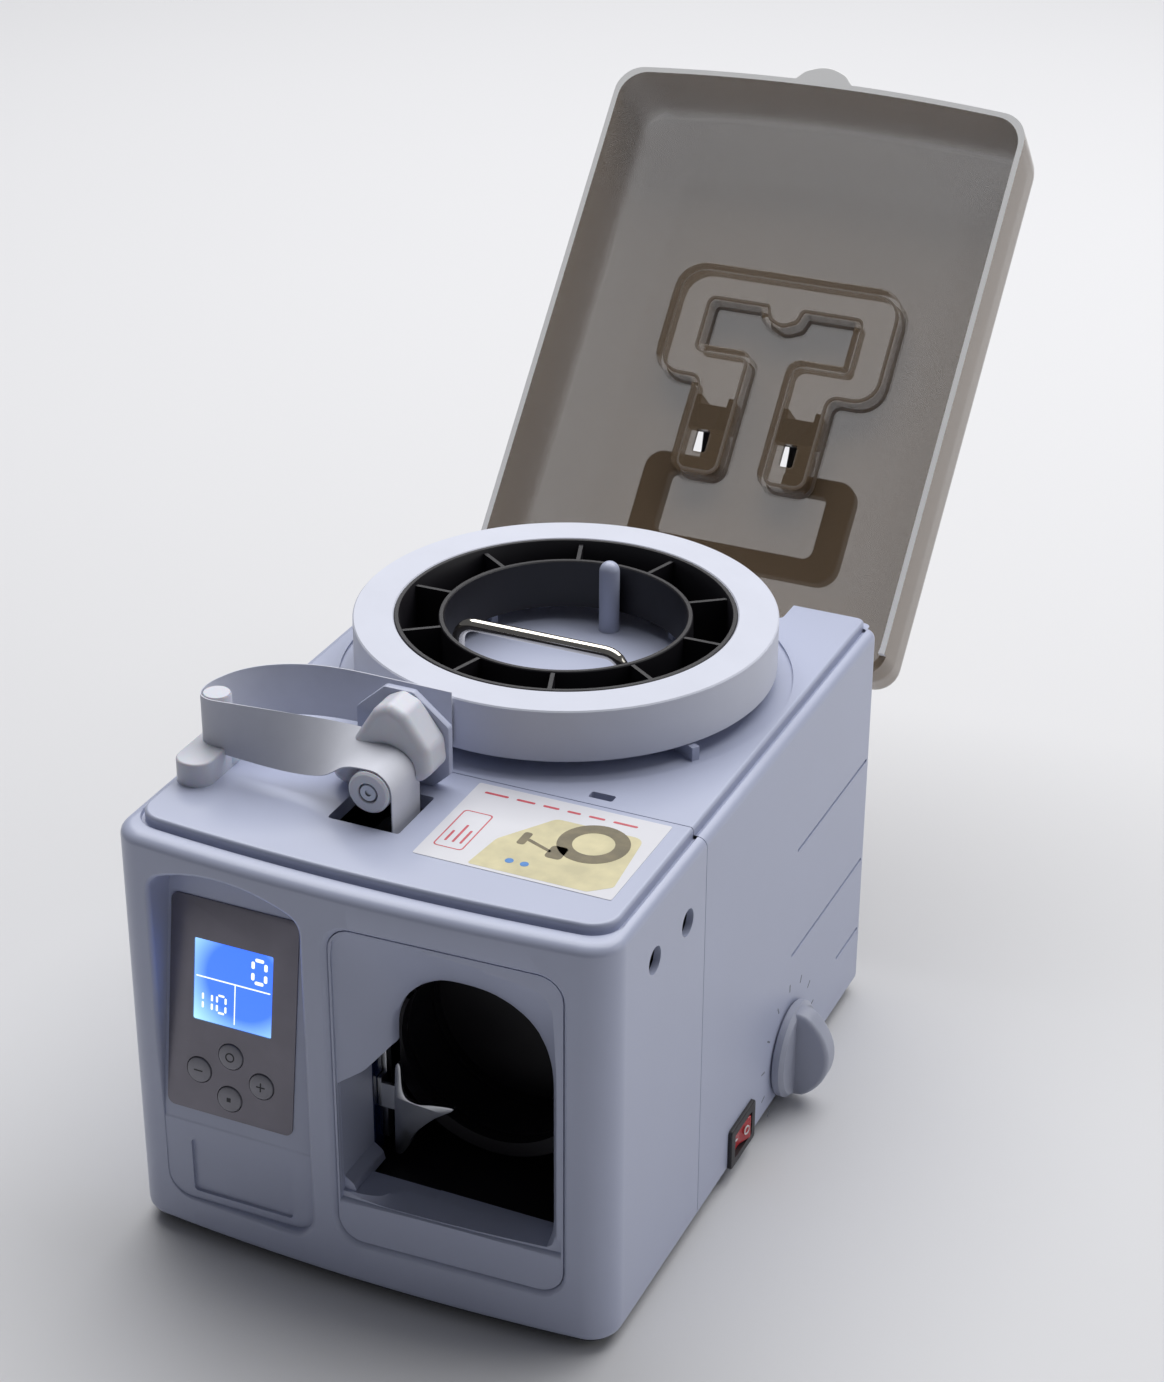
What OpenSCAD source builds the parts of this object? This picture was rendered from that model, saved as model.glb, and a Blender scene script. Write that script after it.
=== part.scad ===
// Desktop banknote banding machine.
// +X is the machine's right side, -Y its front, +Z up. The origin is the middle of the
// plane that its four rubber feet stand on. The dust lid is drawn open.

/* [Body] */
// Width of the body
body_w = 186; // [184:1:190]
// Depth of the body from its front corners to its back
body_l = 252; // [251:0.5:253]
// Height of the rim that the dust lid closes on
rim_z = 163.5; // [163:0.5:165]
// Bulge of the front face
bow = 5; // [4:0.5:6]
// Wall thickness of the plastic shells
wall = 2.5; // [2:0.25:3]
// Height of the rubber feet
foot_h = 3.5; // [3:0.5:4]
// Height of the raised deck above the rim
deck_rise = 3; // [2.5:0.5:3.5]

/* [Tape roll] */
// Outer radius of the paper roll
roll_r = 78; // [60:1:78]
// Width of the paper tape
tape_w = 20; // [20:1:20]
// Outer radius of the roll's core
core_r = 63; // [60:1:64]
// Inner radius of the roll's core
core_bore_r = 44.6; // [44.2:0.2:45]

/* [Dust lid] */
// Angle that the lid stands open at
lid_open = 131.5; // [100:0.5:132]
// Height of the lid's roof above its rim
lid_h = 43; // [42.5:0.5:44]
// Thickness of the lid's walls
lid_wall = 2.2; // [2:0.1:2.4]

/* [Controls] */
// Radius of the tension knob's skirt
knob_r = 19; // [17:0.5:19]
// Radius of the four front buttons
button_r = 4.8; // [4.4:0.2:5]
// Running gap between moving plastic parts
gap = 0.3; // [0.25:0.05:0.4]

/* [Hidden] */
$fn = 64;
eps = 0.01;

shell_grey = "#a9b0c6";
front_grey = "#8f96ab";
nylon = "#f0f1f5";
dark = "#17171c";
steel = "#b9bdc4";
smoke = "#7e776c";

// Body places
hw = body_w / 2;
front_y = -124;
rear_y = front_y + body_l;
seam_y = -46;
deck_z = rim_z + deck_rise;
pan_z = foot_h + 3;
corner_r = 12;
bow_r = (hw * hw + bow * bow) / (2 * bow);
groove_w = 1.4;

// Deck places
roll_x = 1.2;
roll_y = 40.4;
roll_z = rim_z + 7.5;
roller_x = -12;
roller_z = deck_z + 12;
roller_r = 7.6;
roller_y0 = -89.5;
roller_y1 = -66.6;
post_x = -79.6;
post_y = -72;
post_r = 5.2;
tape_t = 0.4;
slot_x0 = -27;
slot_x1 = 0;
slot_y0 = -91;
slot_y1 = -64;

// Lid places, given for the closed lid
lid_z = rim_z + 0.4;
lid_hw = 90.6;
lid_y0 = -122.5;
lid_y1 = 122.5;
hinge_y = 124.2;
hinge_z = 146.8;
notch_x = 58.6;
notch_y = 114;
notch_z = 134;
well_z = lid_z + 32.6;
grip_pivot_y = 17;
grip_pivot_z = lid_z + 44.2;

// Bay places
bay_x0 = -8;
bay_x1 = 76;
bay_z0 = 22.5;
bay_z1 = 149.5;
sill_z = 41;
ring_x = 33;
ring_z = 85;
ring_y0 = -89;
ring_y1 = -60;

// Panel places
arch_x = -48.3;
arch_hw = 29.8;
panel_x = -51.8;
lean_z = 55.5;
lean_deg = 8.5;
panel_y = -124.6;
lcd_z = 106.7;
lcd_size = 31;
keys_z = 72.5;

// Side controls
knob_y = 44;
knob_z = 22.5;
rocker_y = -5;
rocker_z = 14.5;
rocker_tilt = 9;

// Drive places
cam_x = -50;
cam_z = 75;
motor_x = 2;
motor_z = 60;
cam_pulley_r = 22;
motor_pulley_r = 7;
feed_x = -12.6;
feed_z = 150.5;
pinch_x = 2.2;

// ---- outlines ----

// Rounded rectangle from corner to corner
module rounded(x0, y0, x1, y1, r) {
  translate([x0 + r, y0]) square([x1 - x0 - 2 * r, y1 - y0]);
  translate([x0, y0 + r]) square([x1 - x0, y1 - y0 - 2 * r]);
  for (x = [x0 + r, x1 - r], y = [y0 + r, y1 - r]) translate([x, y]) circle(r);
}

// Plan of a case with a bulged front: half width w, bulge radius br, middle of the
// front at f, back at b, front corners cr and back corners rr
module bowed(w, br, f, b, cr, rr) {
  cx = w - cr;
  cy = f + br - sqrt((br - cr) * (br - cr) - cx * cx);
  tx = cx * br / (br - cr);
  intersection() {
    translate([0, f + br]) circle(br, $fn = 360);
    translate([-tx, f - 1]) square([2 * tx, cy - f + 1.5]);
  }
  for (s = [-1, 1]) translate([s * cx, cy]) circle(cr);
  translate([-w, cy]) square([2 * w, b - rr - cy]);
  for (s = [-1, 1]) translate([s * (w - rr), b - rr]) circle(rr);
  translate([rr - w, b - rr - 1]) square([2 * (w - rr), rr + 1]);
}

// Plan of the body, drawn in by i
module body_plan(i = 0) {
  bowed(hw - i, bow_r - i, front_y - bow + i, rear_y - i, max(corner_r - i, 3), max(5 - i, 2));
}

// Plan of the raised deck, drawn in by i
module deck_plan(i = 0) {
  bowed(87.8 - i, bow_r - i, front_y + 4.5 + i, rear_y - 0.4 - i, 10 - i, 3);
}

// The whole closed case with its groove around the raised deck
module case_outside() {
  difference() {
    union() {
      translate([0, 0, foot_h]) linear_extrude(rim_z - foot_h) body_plan();
      translate([0, 0, rim_z - 1]) linear_extrude(deck_rise + 1) deck_plan();
    }
    translate([0, 0, rim_z - 1.2]) linear_extrude(1.3) difference() {
      deck_plan(-groove_w);
      deck_plan();
    }
  }
}

module case_inside() {
  translate([0, 0, foot_h - 1]) linear_extrude(rim_z - wall - foot_h + 1) body_plan(wall);
  translate([0, 0, rim_z - wall - 1]) linear_extrude(deck_rise + 1) deck_plan(wall + 0.6);
}

module hinge_notch(g = 0) {
  translate([-notch_x - g, notch_y - g, notch_z - g]) cube([2 * (notch_x + g), 30, 60]);
}

module shell() {
  difference() {
    case_outside();
    difference() {
      case_inside();
      hinge_notch(wall);
    }
    hinge_notch();
  }
}

module front_half() {
  translate([-150, -200, -10]) cube([300, 200 + seam_y, 250]);
}

module along_y(y0, y1) {
  translate([0, y1, 0]) rotate([90, 0, 0]) linear_extrude(y1 - y0) children();
}

module along_x(x0, x1) {
  translate([x0, 0, 0]) rotate([90, 0, 90]) linear_extrude(x1 - x0) children();
}

module rod_y(x, z, r, y0, y1) {
  translate([x, y1, z]) rotate([90, 0, 0]) cylinder(r = r, h = y1 - y0);
}

module rod_x(y, z, r, x0, x1) {
  translate([x0, y, z]) rotate([0, 90, 0]) cylinder(r = r, h = x1 - x0);
}

// Front view of the arched panel recess, grown by g
module arch_view(g = 0) {
  rounded(arch_x - arch_hw - g, 18 - g, arch_x + arch_hw + g, 144 + g, 9);
  intersection() {
    translate([arch_x, 90]) circle(65 + g, $fn = 128);
    translate([arch_x - arch_hw + 4, 120]) square([2 * arch_hw - 8, 60]);
  }
}

// Everything in front of the panel's face; the face stands up to lean_z, then leans back
module before_panel(back = 0) {
  dz = 110;
  along_x(arch_x - 40, arch_x + 40) polygon([
    [-140, 0], [panel_y + back, 0], [panel_y + back, lean_z],
    [panel_y + back + dz * tan(lean_deg), lean_z + dz], [-140, lean_z + dz]
  ]);
}

// ---- casing ----

module bottom_pan() {
  color("#3a3d46") difference() {
    union() {
      translate([0, 0, foot_h]) linear_extrude(3) body_plan(wall + gap);
      difference() {
        translate([0, 0, foot_h]) linear_extrude(11) body_plan(wall + gap);
        translate([0, 0, foot_h]) linear_extrude(12) body_plan(wall + gap + 2);
      }
    }
    translate([70, rocker_y - 20, pan_z]) cube([30, 40, 20]);
    translate([70, knob_y - 24, pan_z]) cube([30, 48, 20]);
    translate([20, 90, pan_z]) cube([60, 50, 20]);
    for (x = [-74, 74], y = [-98, 98]) translate([x, y, 0]) cylinder(r = 1.6, h = 10);
    for (i = [0:6]) translate([-36 + 12 * i, 16, 0]) cube([5, 56, 10]);
  }
}

// Four screwed feet, and a stuck-on pad that props the pan's middle
module rubber_feet() {
  color(dark) {
    for (x = [-74, 74], y = [-98, 98]) translate([x, y, 0]) difference() {
      cylinder(r = 9, h = foot_h);
      translate([0, 0, -1]) cylinder(r = 4, h = 3.2);
      cylinder(r = 1.6, h = 10);
    }
    cylinder(r = 8, h = foot_h);
  }
}

module pan_screws() {
  color(steel) for (x = [-74, 74], y = [-98, 98]) translate([x, y, 1]) {
    cylinder(r = 3.2, h = 1.2);
    cylinder(r = 1.6, h = pan_z - 1);
  }
}

module front_cover() {
  color(front_grey) difference() {
    union() {
      difference() {
        intersection() {
          shell();
          front_half();
        }
        intersection() {
          along_y(-140, -60) arch_view();
          before_panel();
        }
        along_y(-140, -100) rounded(bay_x0, bay_z0, bay_x1, bay_z1, 9);
        along_y(-140, panel_y + 0.6) rounded(-68, 21.2, -28, 43.6, 1.5);
      }
      // Pocket that carries the leaning panel
      intersection() {
        translate([0, 0, foot_h]) linear_extrude(rim_z - foot_h - 1) body_plan(0);
        along_y(-140, -60) arch_view(wall);
        difference() {
          before_panel(wall);
          intersection() {
            along_y(-141, -59) arch_view();
            before_panel();
          }
        }
      }
    }
    // Paper slot, screw access holes, panel cut-outs
    translate([slot_x0, slot_y0, rim_z - 5]) cube([slot_x1 - slot_x0, slot_y1 - slot_y0, 12]);
    rod_x(-61.8, 139.5, 5, 80, 100);
    rod_x(-89.9, 141.2, 5, 80, 100);
    on_panel() {
      translate([0, lcd_z - lean_z, -8]) linear_extrude(16) square(lcd_size, center = true);
      for (k = key_places) translate([k[0], k[1], -8]) cylinder(r = button_r + gap, h = 16);
    }
  }
}

key_places = [[0, keys_z - lean_z + 8.2], [-12.4, keys_z - lean_z], [12.4, keys_z - lean_z],
              [0, keys_z - lean_z - 8.2]];

// Places children on the leaning panel: x across, y up the slope from lean_z, z outwards
module on_panel() {
  translate([panel_x, panel_y, lean_z]) rotate([90 - lean_deg, 0, 0]) children();
}

module rear_housing() {
  color(shell_grey) difference() {
    union() {
      difference() {
        shell();
        translate([0, 0.4, 0]) front_half();
      }
      // Shoulder blocks that hold the lid's hinge pins
      for (s = [-1, 1]) translate([s * (notch_x + 5.5) - 5.5, 114, notch_z]) cube([11, 12, 26]);
    }
    for (s = [-1, 1]) rod_x(hinge_y, hinge_z, 2, s * 59 - 9, s * 59 + 9);
    // Shallow well under the roll
    translate([roll_x, roll_y, deck_z - 1]) cylinder(r = 84, h = 2, $fn = 180);
    translate([47, -41.5, rim_z - 4]) cube([9, 4, 12]);
    translate([roll_x, 79.9, rim_z - 5]) cylinder(r = 2, h = 8);
    for (s = [-1, 1]) translate([s * 33, 20.6, rim_z - 5]) cylinder(r = 2.5, h = 12);
    // Grooves on the right and left side
    for (s = [-1, 1], g = [[108.5, 46], [63.5, 44], [31, 97]])
      translate([s * hw - 0.8, g[1], g[0] - 0.7]) cube([1.6, rear_y - g[1] - 6, 1.4]);
    rod_x(knob_y, knob_z, 4, 80, 100);
    translate([80, rocker_y - 9.7, rocker_z - 6.4]) cube([20, 19.4, 12.8]);
    // Back: inlet, fuse, fan grille
    along_y(rear_y - 5, rear_y + 5) {
      rounded(46, 16, 74, 36, 2);
      translate([32, 26]) circle(6);
    }
    for (i = [0:6]) translate([-66, rear_y - 6, 50 + 7 * i]) cube([42, 12, 3]);
    for (s = [-1, 1], i = [0:5]) translate([s * hw - 6, 66 + 7 * i, 84]) cube([12, 3, 18]);
  }
}

// Grey funnel that leads the banknotes into the bay
module bay_funnel() {
  inner_y = -114;
  color(front_grey) {
    difference() {
      intersection() {
        along_y(-140, inner_y + 2)
          rounded(bay_x0 + 0.1, bay_z0 + 0.1, bay_x1 - 0.1, bay_z1 - 0.1, 9);
        translate([0, 0, 10]) linear_extrude(150) body_plan(1.2);
      }
      // Throat with an arched top and its flared mouth
      along_y(-150, 0) bay_throat();
      hull() {
        along_y(inner_y - 1, inner_y - 0.5) bay_throat();
        along_y(-130, -129) rounded(bay_x0 - 1, sill_z - 2.6, bay_x1 - 1.5, bay_z1 - 1, 8);
      }
      // Open pocket on the left, below the flare
      translate([bay_x0 - 1, -140, sill_z]) cube([30, 40, 49]);
    }
    // The pocket's left wall
    translate([bay_x0 + 0.1, -125.4, sill_z - 0.5]) cube([0.9, 22.8, 50]);
  }
}

module bay_throat() {
  intersection() {
    union() {
      rounded(9.4, sill_z, 68.4, 104, 4);
      translate([38.9, 101]) circle(29.5);
    }
    translate([0, sill_z]) square([bay_x1, 92.5]);
  }
}

// Black box behind the funnel that keeps the notes off the works
module bay_liner() {
  color(dark) difference() {
    translate([-10, -112, 30]) cube([90, 54, 112]);
    translate([-8, -113, 38]) cube([86, 53, 101]);
    // Windows for the seal block, the cutter and the tape
    translate([-12, -92, 62]) cube([6, 28, 34]);
    translate([-9, -92, 130]) cube([22, 28, 20]);
  }
}

// Ring that leads the tape around the bundle, with a gap at the top left for the tape
module tape_loop_ring() {
  color("#1d1d24") difference() {
    rod_y(ring_x, ring_z, 40.5, ring_y0, ring_y1);
    rod_y(ring_x, ring_z, 35, ring_y0 - 1, ring_y1 + 1);
    for (y = [ring_y0 + 4, ring_y1 - 6]) difference() {
      rod_y(ring_x, ring_z, 36.2, y, y + 2);
      rod_y(ring_x, ring_z, 30, y - 1, y + 3);
    }
    translate([-12, ring_y0 - 1, 100]) cube([26, 30, 30]);
    translate([-12, ring_y0 - 1, 66]) cube([9, 30, 24]);
  }
}

module sensor_window() {
  color("#10182f") translate([-7.9, -102.5, sill_z]) cube([1.4, 6.2, 38]);
}

// Steel finger that steadies the bundle's left edge; it slides across the bay
module clamp_plate() {
  color(steel) {
    translate([-7.4, -95.8, 44]) cube([2.8, 3.8, 50]);
    translate([-6.2, -100, 60]) cube([1.6, 8, 12]);
    along_y(-100, -98.4) polygon([
      [-6.2, 62], [0.2, 60], [-0.2, 41.6], [2, 41.4], [5, 45], [9.2, 53], [16.3, 61.4], [22.5, 66],
      [22.3, 67.6], [9.6, 64.8], [4.6, 66.2], [3.3, 70], [2.6, 79], [0.8, 79], [0.2, 72], [-6.2, 72]
    ]);
  }
}

// ---- deck ----

module roll_ribs() {
  color(shell_grey) for (a = [-31, 59, 149, 239]) translate([roll_x, roll_y, deck_z - 1])
    rotate([0, 0, a]) translate([48, -1.5, 0]) cube([32.5, 3, roll_z - deck_z + 1 - gap]);
}

module roll_post() {
  color(shell_grey) translate([roll_x, 79.9, 0]) {
    translate([0, 0, rim_z - 2]) cylinder(r = 1.9, h = 5);
    translate([0, 0, deck_z - 1]) cylinder(r = 3.9, h = 24.5);
    translate([0, 0, deck_z + 23.5]) sphere(3.9);
  }
}

// Chrome wire handle that stands in the middle of the roll
module carry_handle() {
  r = 2.4;
  bend = 7;
  top = rim_z + 24.9;
  color("#d8d8da") translate([0, 20.6, 0]) {
    for (m = [0, 1]) mirror([m, 0, 0]) {
      translate([33, 0, rim_z - 8]) cylinder(r = r, h = top - bend - rim_z + 8);
      translate([33 - bend, 0, top - bend]) rotate([90, 0, 0])
        rotate_extrude(angle = 90) translate([bend, 0]) circle(r);
    }
    translate([bend - 33, 0, top]) rotate([0, 90, 0]) cylinder(r = r, h = 2 * (33 - bend));
  }
}

module handle_nuts() {
  color(steel) for (s = [-1, 1]) translate([s * 33, 20.6, rim_z - 2.5]) difference() {
    cylinder(r = 4.6, h = 3, $fn = 6);
    translate([0, 0, -1]) cylinder(r = 2.4, h = 6);
  }
}

module tape_core() {
  color(dark) translate([roll_x, roll_y, roll_z]) {
    difference() {
      cylinder(r = core_r, h = tape_w, $fn = 128);
      translate([0, 0, 2]) cylinder(r = core_r - 2, h = tape_w, $fn = 128);
      translate([0, 0, -1]) cylinder(r = core_bore_r, h = tape_w + 2, $fn = 128);
    }
    difference() {
      cylinder(r = core_bore_r + 2, h = tape_w - 1, $fn = 128);
      translate([0, 0, -1]) cylinder(r = core_bore_r, h = tape_w + 2, $fn = 128);
    }
    for (i = [0:9]) rotate([0, 0, 36 * i + 1]) translate([core_bore_r + 1, -0.8, 0.5])
      cube([core_r - core_bore_r - 2, 1.6, tape_w - 2]);
  }
}

module tape_roll() {
  color("#eef0f4") translate([roll_x, roll_y, roll_z]) difference() {
    cylinder(r = roll_r, h = tape_w, $fn = 180);
    translate([0, 0, -1]) cylinder(r = core_r, h = tape_w + 2, $fn = 128);
  }
}

// Middle line of the loose tape from the roll's front, round the post and back to the right
tape_line = [
  [-6, -38.4], [-28, -38.2], [-48, -38.4], [-62, -41], [-73, -46.5], [-80.5, -54], [-84.6, -63],
  [-85.9, -69.4], [-85.4, -73.6], [-82.9, -77], [-79.2, -78.1], [-70, -76.6], [-56, -74.2], [-42, -71.6], [-30, -69.4]
];
function tape_side(i) =
  let (a = tape_line[max(i - 1, 0)], b = tape_line[min(i + 1, len(tape_line) - 1)], d = b - a)
  [-d[1], d[0]] * tape_t / 2 / norm(d);

module paper_tape() {
  n = len(tape_line) - 1;
  top = roller_r + gap + tape_t;
  color("#f4f5f8") {
    translate([0, 0, deck_z + 7]) linear_extrude(tape_w) polygon(concat(
      [for (i = [0:n]) tape_line[i] + tape_side(i)],
      [for (i = [n:-1:0]) tape_line[i] - tape_side(i)]
    ));
    // The fall over the roller's right side, down between the feed rollers
    intersection() {
      difference() {
        rod_y(roller_x, roller_z, top, -88, -68);
        rod_y(roller_x, roller_z, roller_r + gap, -89, -67);
      }
      translate([roller_x, -90, roller_z]) cube([10, 30, 10]);
    }
    translate([roller_x + top - tape_t, -88, 134]) cube([tape_t, tape_w, roller_z - 134]);
  }
}

module guide_post() {
  color(nylon) {
    intersection() {
      translate([0, 0, deck_z]) linear_extrude(9) intersection() {
        translate([-79.5, -66]) circle(28);
        rounded(-87.4, -95, -73.6, -66, 3);
      }
      along_x(-90, -70) translate([0, deck_z]) polygon([
        [-96, -1], [-96, 9], [-92, 9], [-80.5, 6.6], [-60, 6.6], [-60, -1]
      ]);
    }
    translate([post_x, post_y, deck_z]) cylinder(r = post_r, h = 27);
    translate([post_x, post_y, deck_z]) cylinder(r = post_r + 1.6, h = 5);
  }
}

// Chamfered plate that carries the roller and the arch
module twist_bracket() {
  color("#b4bacb") difference() {
    union() {
      along_y(-57.5, -54.5) polygon([
        [-33, deck_z], [-4, deck_z], [2.4, deck_z + 6], [2.4, deck_z + 24], [-11, deck_z + 35],
        [-22, deck_z + 35], [-33, deck_z + 25]
      ]);
      translate([-33, -57.5, deck_z]) cube([29, 9, 2]);
    }
    rod_y(roller_x, roller_z, 2, -60, -50);
  }
}

// White nylon arch that turns the tape on edge
module twist_arch() {
  color(nylon) difference() {
    along_y(-66, -57.5) polygon([
      [-37, deck_z + 4], [-30, deck_z + 1], [-22, deck_z + 12], [-13, deck_z + 21],
      [-6, deck_z + 9], [-2, deck_z + 11], [0.5, deck_z + 20], [-8, deck_z + 32],
      [-13, deck_z + 34.5], [-18, deck_z + 33.5], [-24, deck_z + 26]
    ]);
    rod_y(roller_x, roller_z, roller_r + 1, -70, -62);
    rod_y(roller_x, roller_z, 2, -70, -50);
  }
}

module tape_roller() {
  color(nylon) difference() {
    rod_y(roller_x, roller_z, roller_r, roller_y0, roller_y1);
    rod_y(roller_x, roller_z, 2.05, -100, -50);
    rod_y(roller_x, roller_z, 3.6, -100, roller_y0 + 2.5);
  }
}

module roller_screw() {
  color(steel) {
    rod_y(roller_x, roller_z, 2, roller_y0 + 1.4, -51);
    rod_y(roller_x, roller_z, 3.2, roller_y0 + 0.2, roller_y0 + 2.2);
  }
}

module loading_label() {
  color("white") translate([0, 0, deck_z]) linear_extrude(0.25)
    rounded(9.5, -99.5, 81.4, -48.4, 0.6);
}

// ---- dust lid ----

module open_lid() {
  translate([0, hinge_y, hinge_z]) rotate([-lid_open, 0, 0]) translate([0, -hinge_y, -hinge_z])
    children();
}

// How far the lid's wall leans in (f) at a height (z), as shares of the shoulder and mm
lid_profile = [[0, 0], [0.015, 16], [0.035, 30], [0.08, 36], [0.25, 39.5], [0.6, 41.6], [1, lid_h]];

module lid_slice(f, i) {
  w = lid_hw - 26 * f - i;
  bowed(w, 900, lid_y0 + 31 * f + i, lid_y1 - 38 * f - i, 12 - 4 * f, 10 - 2 * f, $fn = 32);
}

module lid_form(i, drop) {
  hull() for (p = lid_profile) translate([0, 0, lid_z + p[1] - drop])
    linear_extrude(eps) lid_slice(p[0], i);
}

// Plan of the handle's well, grown by g
module well_plan(g = 0) {
  difference() {
    rounded(-49 - g, -46 - g, 49 + g, 2.5 + g, 11);
    difference() {
      translate([g - 34, g - 33]) square([68 - 2 * g, 60]);
      translate([-40, -9.4 - g]) square([80, 60]);
    }
    translate([-10 + g, -10]) square([20 - 2 * g, 60]);
  }
  for (s = [-1, 1]) translate([s * 19.5, 20]) rounded(-9.5 - g, -25 - g, 9.5 + g, 24 + g, 6);
  translate([0, -33]) circle(8.5 + g);
}

module dust_lid() {
  color(smoke, 0.5) open_lid() {
    difference() {
      union() {
        difference() {
          lid_form(0, 0);
          lid_form(lid_wall, lid_wall);
          translate([0, 0, well_z - 4]) linear_extrude(30) well_plan();
          // The back of the rim clears the deck's shoulders
          translate([-120, 113, lid_z - 1]) cube([240, 20, 4.6]);
        }
        translate([0, 0, well_z - lid_wall]) linear_extrude(lid_z + lid_h - well_z + lid_wall)
          difference() {
            well_plan(lid_wall);
            well_plan();
          }
        translate([0, 0, well_z - lid_wall]) linear_extrude(lid_wall) well_plan(lid_wall);
        for (s = [-1, 1]) lid_lug(s * 52);
        // Finger tab
        translate([0, 0, lid_z]) linear_extrude(2.2) intersection() {
          translate([0, lid_y0 + 6]) circle(14);
          translate([-20, lid_y0 - 7]) square([40, 8]);
        }
      }
      for (s = [-1, 1]) translate([s * 19.5 - 3, 26, well_z - 5]) cube([6, 10, 8]);
      rod_x(hinge_y, hinge_z, 2.05, -100, 100);
    }
  }
}

module lid_lug(x) {
  along_x(x - 4, x + 4) {
    translate([hinge_y, hinge_z]) circle(5.5);
    polygon([
      [hinge_y - 5.4, hinge_z], [hinge_y + 3.6, hinge_z + 4.1], [lid_y1 - 0.4, lid_z + 12],
      [lid_y1 - 2.2, lid_z + 12], [lid_y1 - 5.5, lid_z + 3.6]
    ]);
  }
}

module lid_hinge_pins() {
  color(steel) for (s = [-1, 1]) rod_x(hinge_y, hinge_z, 2, s * 57.5 - 9, s * 57.5 + 9);
}

module handle_brackets() {
  color(dark) open_lid() for (s = [-1, 1]) difference() {
    union() {
      translate([s * 19.5 - 8.5, 14, well_z]) cube([17, 11, 5.4]);
      for (x = [-8.5, 5.9]) translate([s * 19.5 + x, 10, well_z]) cube([2.6, 13, 12]);
      for (x = [-8.5, 5.9]) rod_x(grip_pivot_y, grip_pivot_z, 4.6, s * 19.5 + x, s * 19.5 + x + 2.6);
    }
    rod_x(grip_pivot_y, grip_pivot_z, 1.5, -60, 60);
  }
}

module handle_pins() {
  color(steel) open_lid() for (s = [-1, 1])
    rod_x(grip_pivot_y, grip_pivot_z, 1.5, s * 19.5 - 8.7, s * 19.5 + 8.7);
}

// Grip plan in its well: bar, sides and feet
module grip_plan() {
  difference() {
    rounded(-47.5, -44.5, 47.5, 1, 9);
    translate([-35.5, -34.6]) square([71, 27.6]);
    translate([-14, -10]) square([28, 20]);
  }
  for (s = [-1, 1]) translate([s * 19.5 - 4.9, -3]) square([9.8, 9]);
}

// Side view of an arm, from the grip's foot up to its pivot
module grip_arm() {
  z0 = well_z + 1.8;
  polygon([
    [4, z0], [4, z0 + 8], [14, grip_pivot_z + 3.2], [grip_pivot_y, grip_pivot_z],
    [14.2, grip_pivot_z - 3.4], [10, z0]
  ]);
}

module lid_handle() {
  color("#26262c") open_lid()
    translate([0, grip_pivot_y, grip_pivot_z]) rotate([180, 0, 0])
    translate([0, -grip_pivot_y, -grip_pivot_z]) difference() {
      union() {
        translate([0, 0, well_z + 1.8]) linear_extrude(8) grip_plan();
        for (s = [-1, 1]) {
          along_x(s * 19.5 - 4.9, s * 19.5 + 4.9) grip_arm();
          rod_x(grip_pivot_y, grip_pivot_z, 4.4, s * 19.5 - 4.9, s * 19.5 + 4.9);
        }
      }
      rod_x(grip_pivot_y, grip_pivot_z, 1.55, -60, 60);
    }
}

// ---- controls ----

module tension_knob() {
  color("#9aa0b2") difference() {
    union() {
      rod_x(knob_y, knob_z, knob_r, hw + 0.4, hw + 5);
      intersection() {
        translate([hw + 5 - eps, knob_y - 4.5, knob_z - knob_r]) cube([13, 9, 2 * knob_r]);
        translate([hw - 4.5, knob_y, knob_z]) sphere(23.5, $fn = 96);
      }
    }
    rod_x(knob_y, knob_z, 3, hw, hw + 12);
  }
}

module knob_shaft() {
  color(steel) rod_x(knob_y, knob_z, 3, 80, hw + 12);
}

module potentiometer() {
  color("#5c6a5a") difference() {
    union() {
      rod_x(knob_y, knob_z, 8.5, 78, hw - wall);
      rod_x(knob_y, knob_z, 3.9, hw - wall - eps, hw);
    }
    rod_x(knob_y, knob_z, 3.05, 79.7, hw + 2);
  }
}

module switch_bezel() {
  color(dark) difference() {
    union() {
      translate([hw, rocker_y - 12, rocker_z - 8.5]) cube([1.6, 24, 17]);
      translate([hw - 18, rocker_y - 9.6, rocker_z - 6.3]) cube([18 + eps, 19.2, 12.6]);
    }
    translate([hw - 12, rocker_y - 8.4, rocker_z - 5.1]) cube([20, 16.8, 10.2]);
  }
  color(dark) translate([hw - 4, rocker_y, rocker_z - 5.2]) cylinder(r = 1.45, h = 10.4);
}

// Rocker cap on its pivot pin, with its front end pressed in
module power_rocker() {
  color("#b02020") translate([hw - 4, rocker_y, rocker_z]) rotate([0, 0, -rocker_tilt])
    translate([0, 0, -4.8]) linear_extrude(9.6) difference() {
      polygon([[-4.5, -3], [-4.5, 3], [1, 7.2], [5.4, 7.2], [4, 0], [5.4, -7.2], [1, -7.2]]);
      circle(1.5);
    }
}

module panel_overlay() {
  color("#77747c") on_panel() difference() {
    linear_extrude(0.5) rounded(-25, 1, 25, 82.5, 3);
    translate([0, lcd_z - lean_z, -1]) linear_extrude(3) square(lcd_size, center = true);
    for (k = key_places) translate([k[0], k[1], -1]) cylinder(r = button_r + gap, h = 3);
  }
}

module display_window() {
  color("#2b62ff") on_panel() translate([0, lcd_z - lean_z, -0.6]) linear_extrude(0.9)
    square(lcd_size - 0.2, center = true);
}

module display_module() {
  color("#1d5f3a") on_panel() {
    translate([0, lcd_z - lean_z, -2.5]) linear_extrude(1.9) square(lcd_size - 0.2, center = true);
    translate([0, 42, -6]) linear_extrude(1.6) square([50, 78], center = true);
    translate([0, lcd_z - lean_z, -4.4]) linear_extrude(1.9) square(lcd_size - 2, center = true);
  }
}

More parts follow.
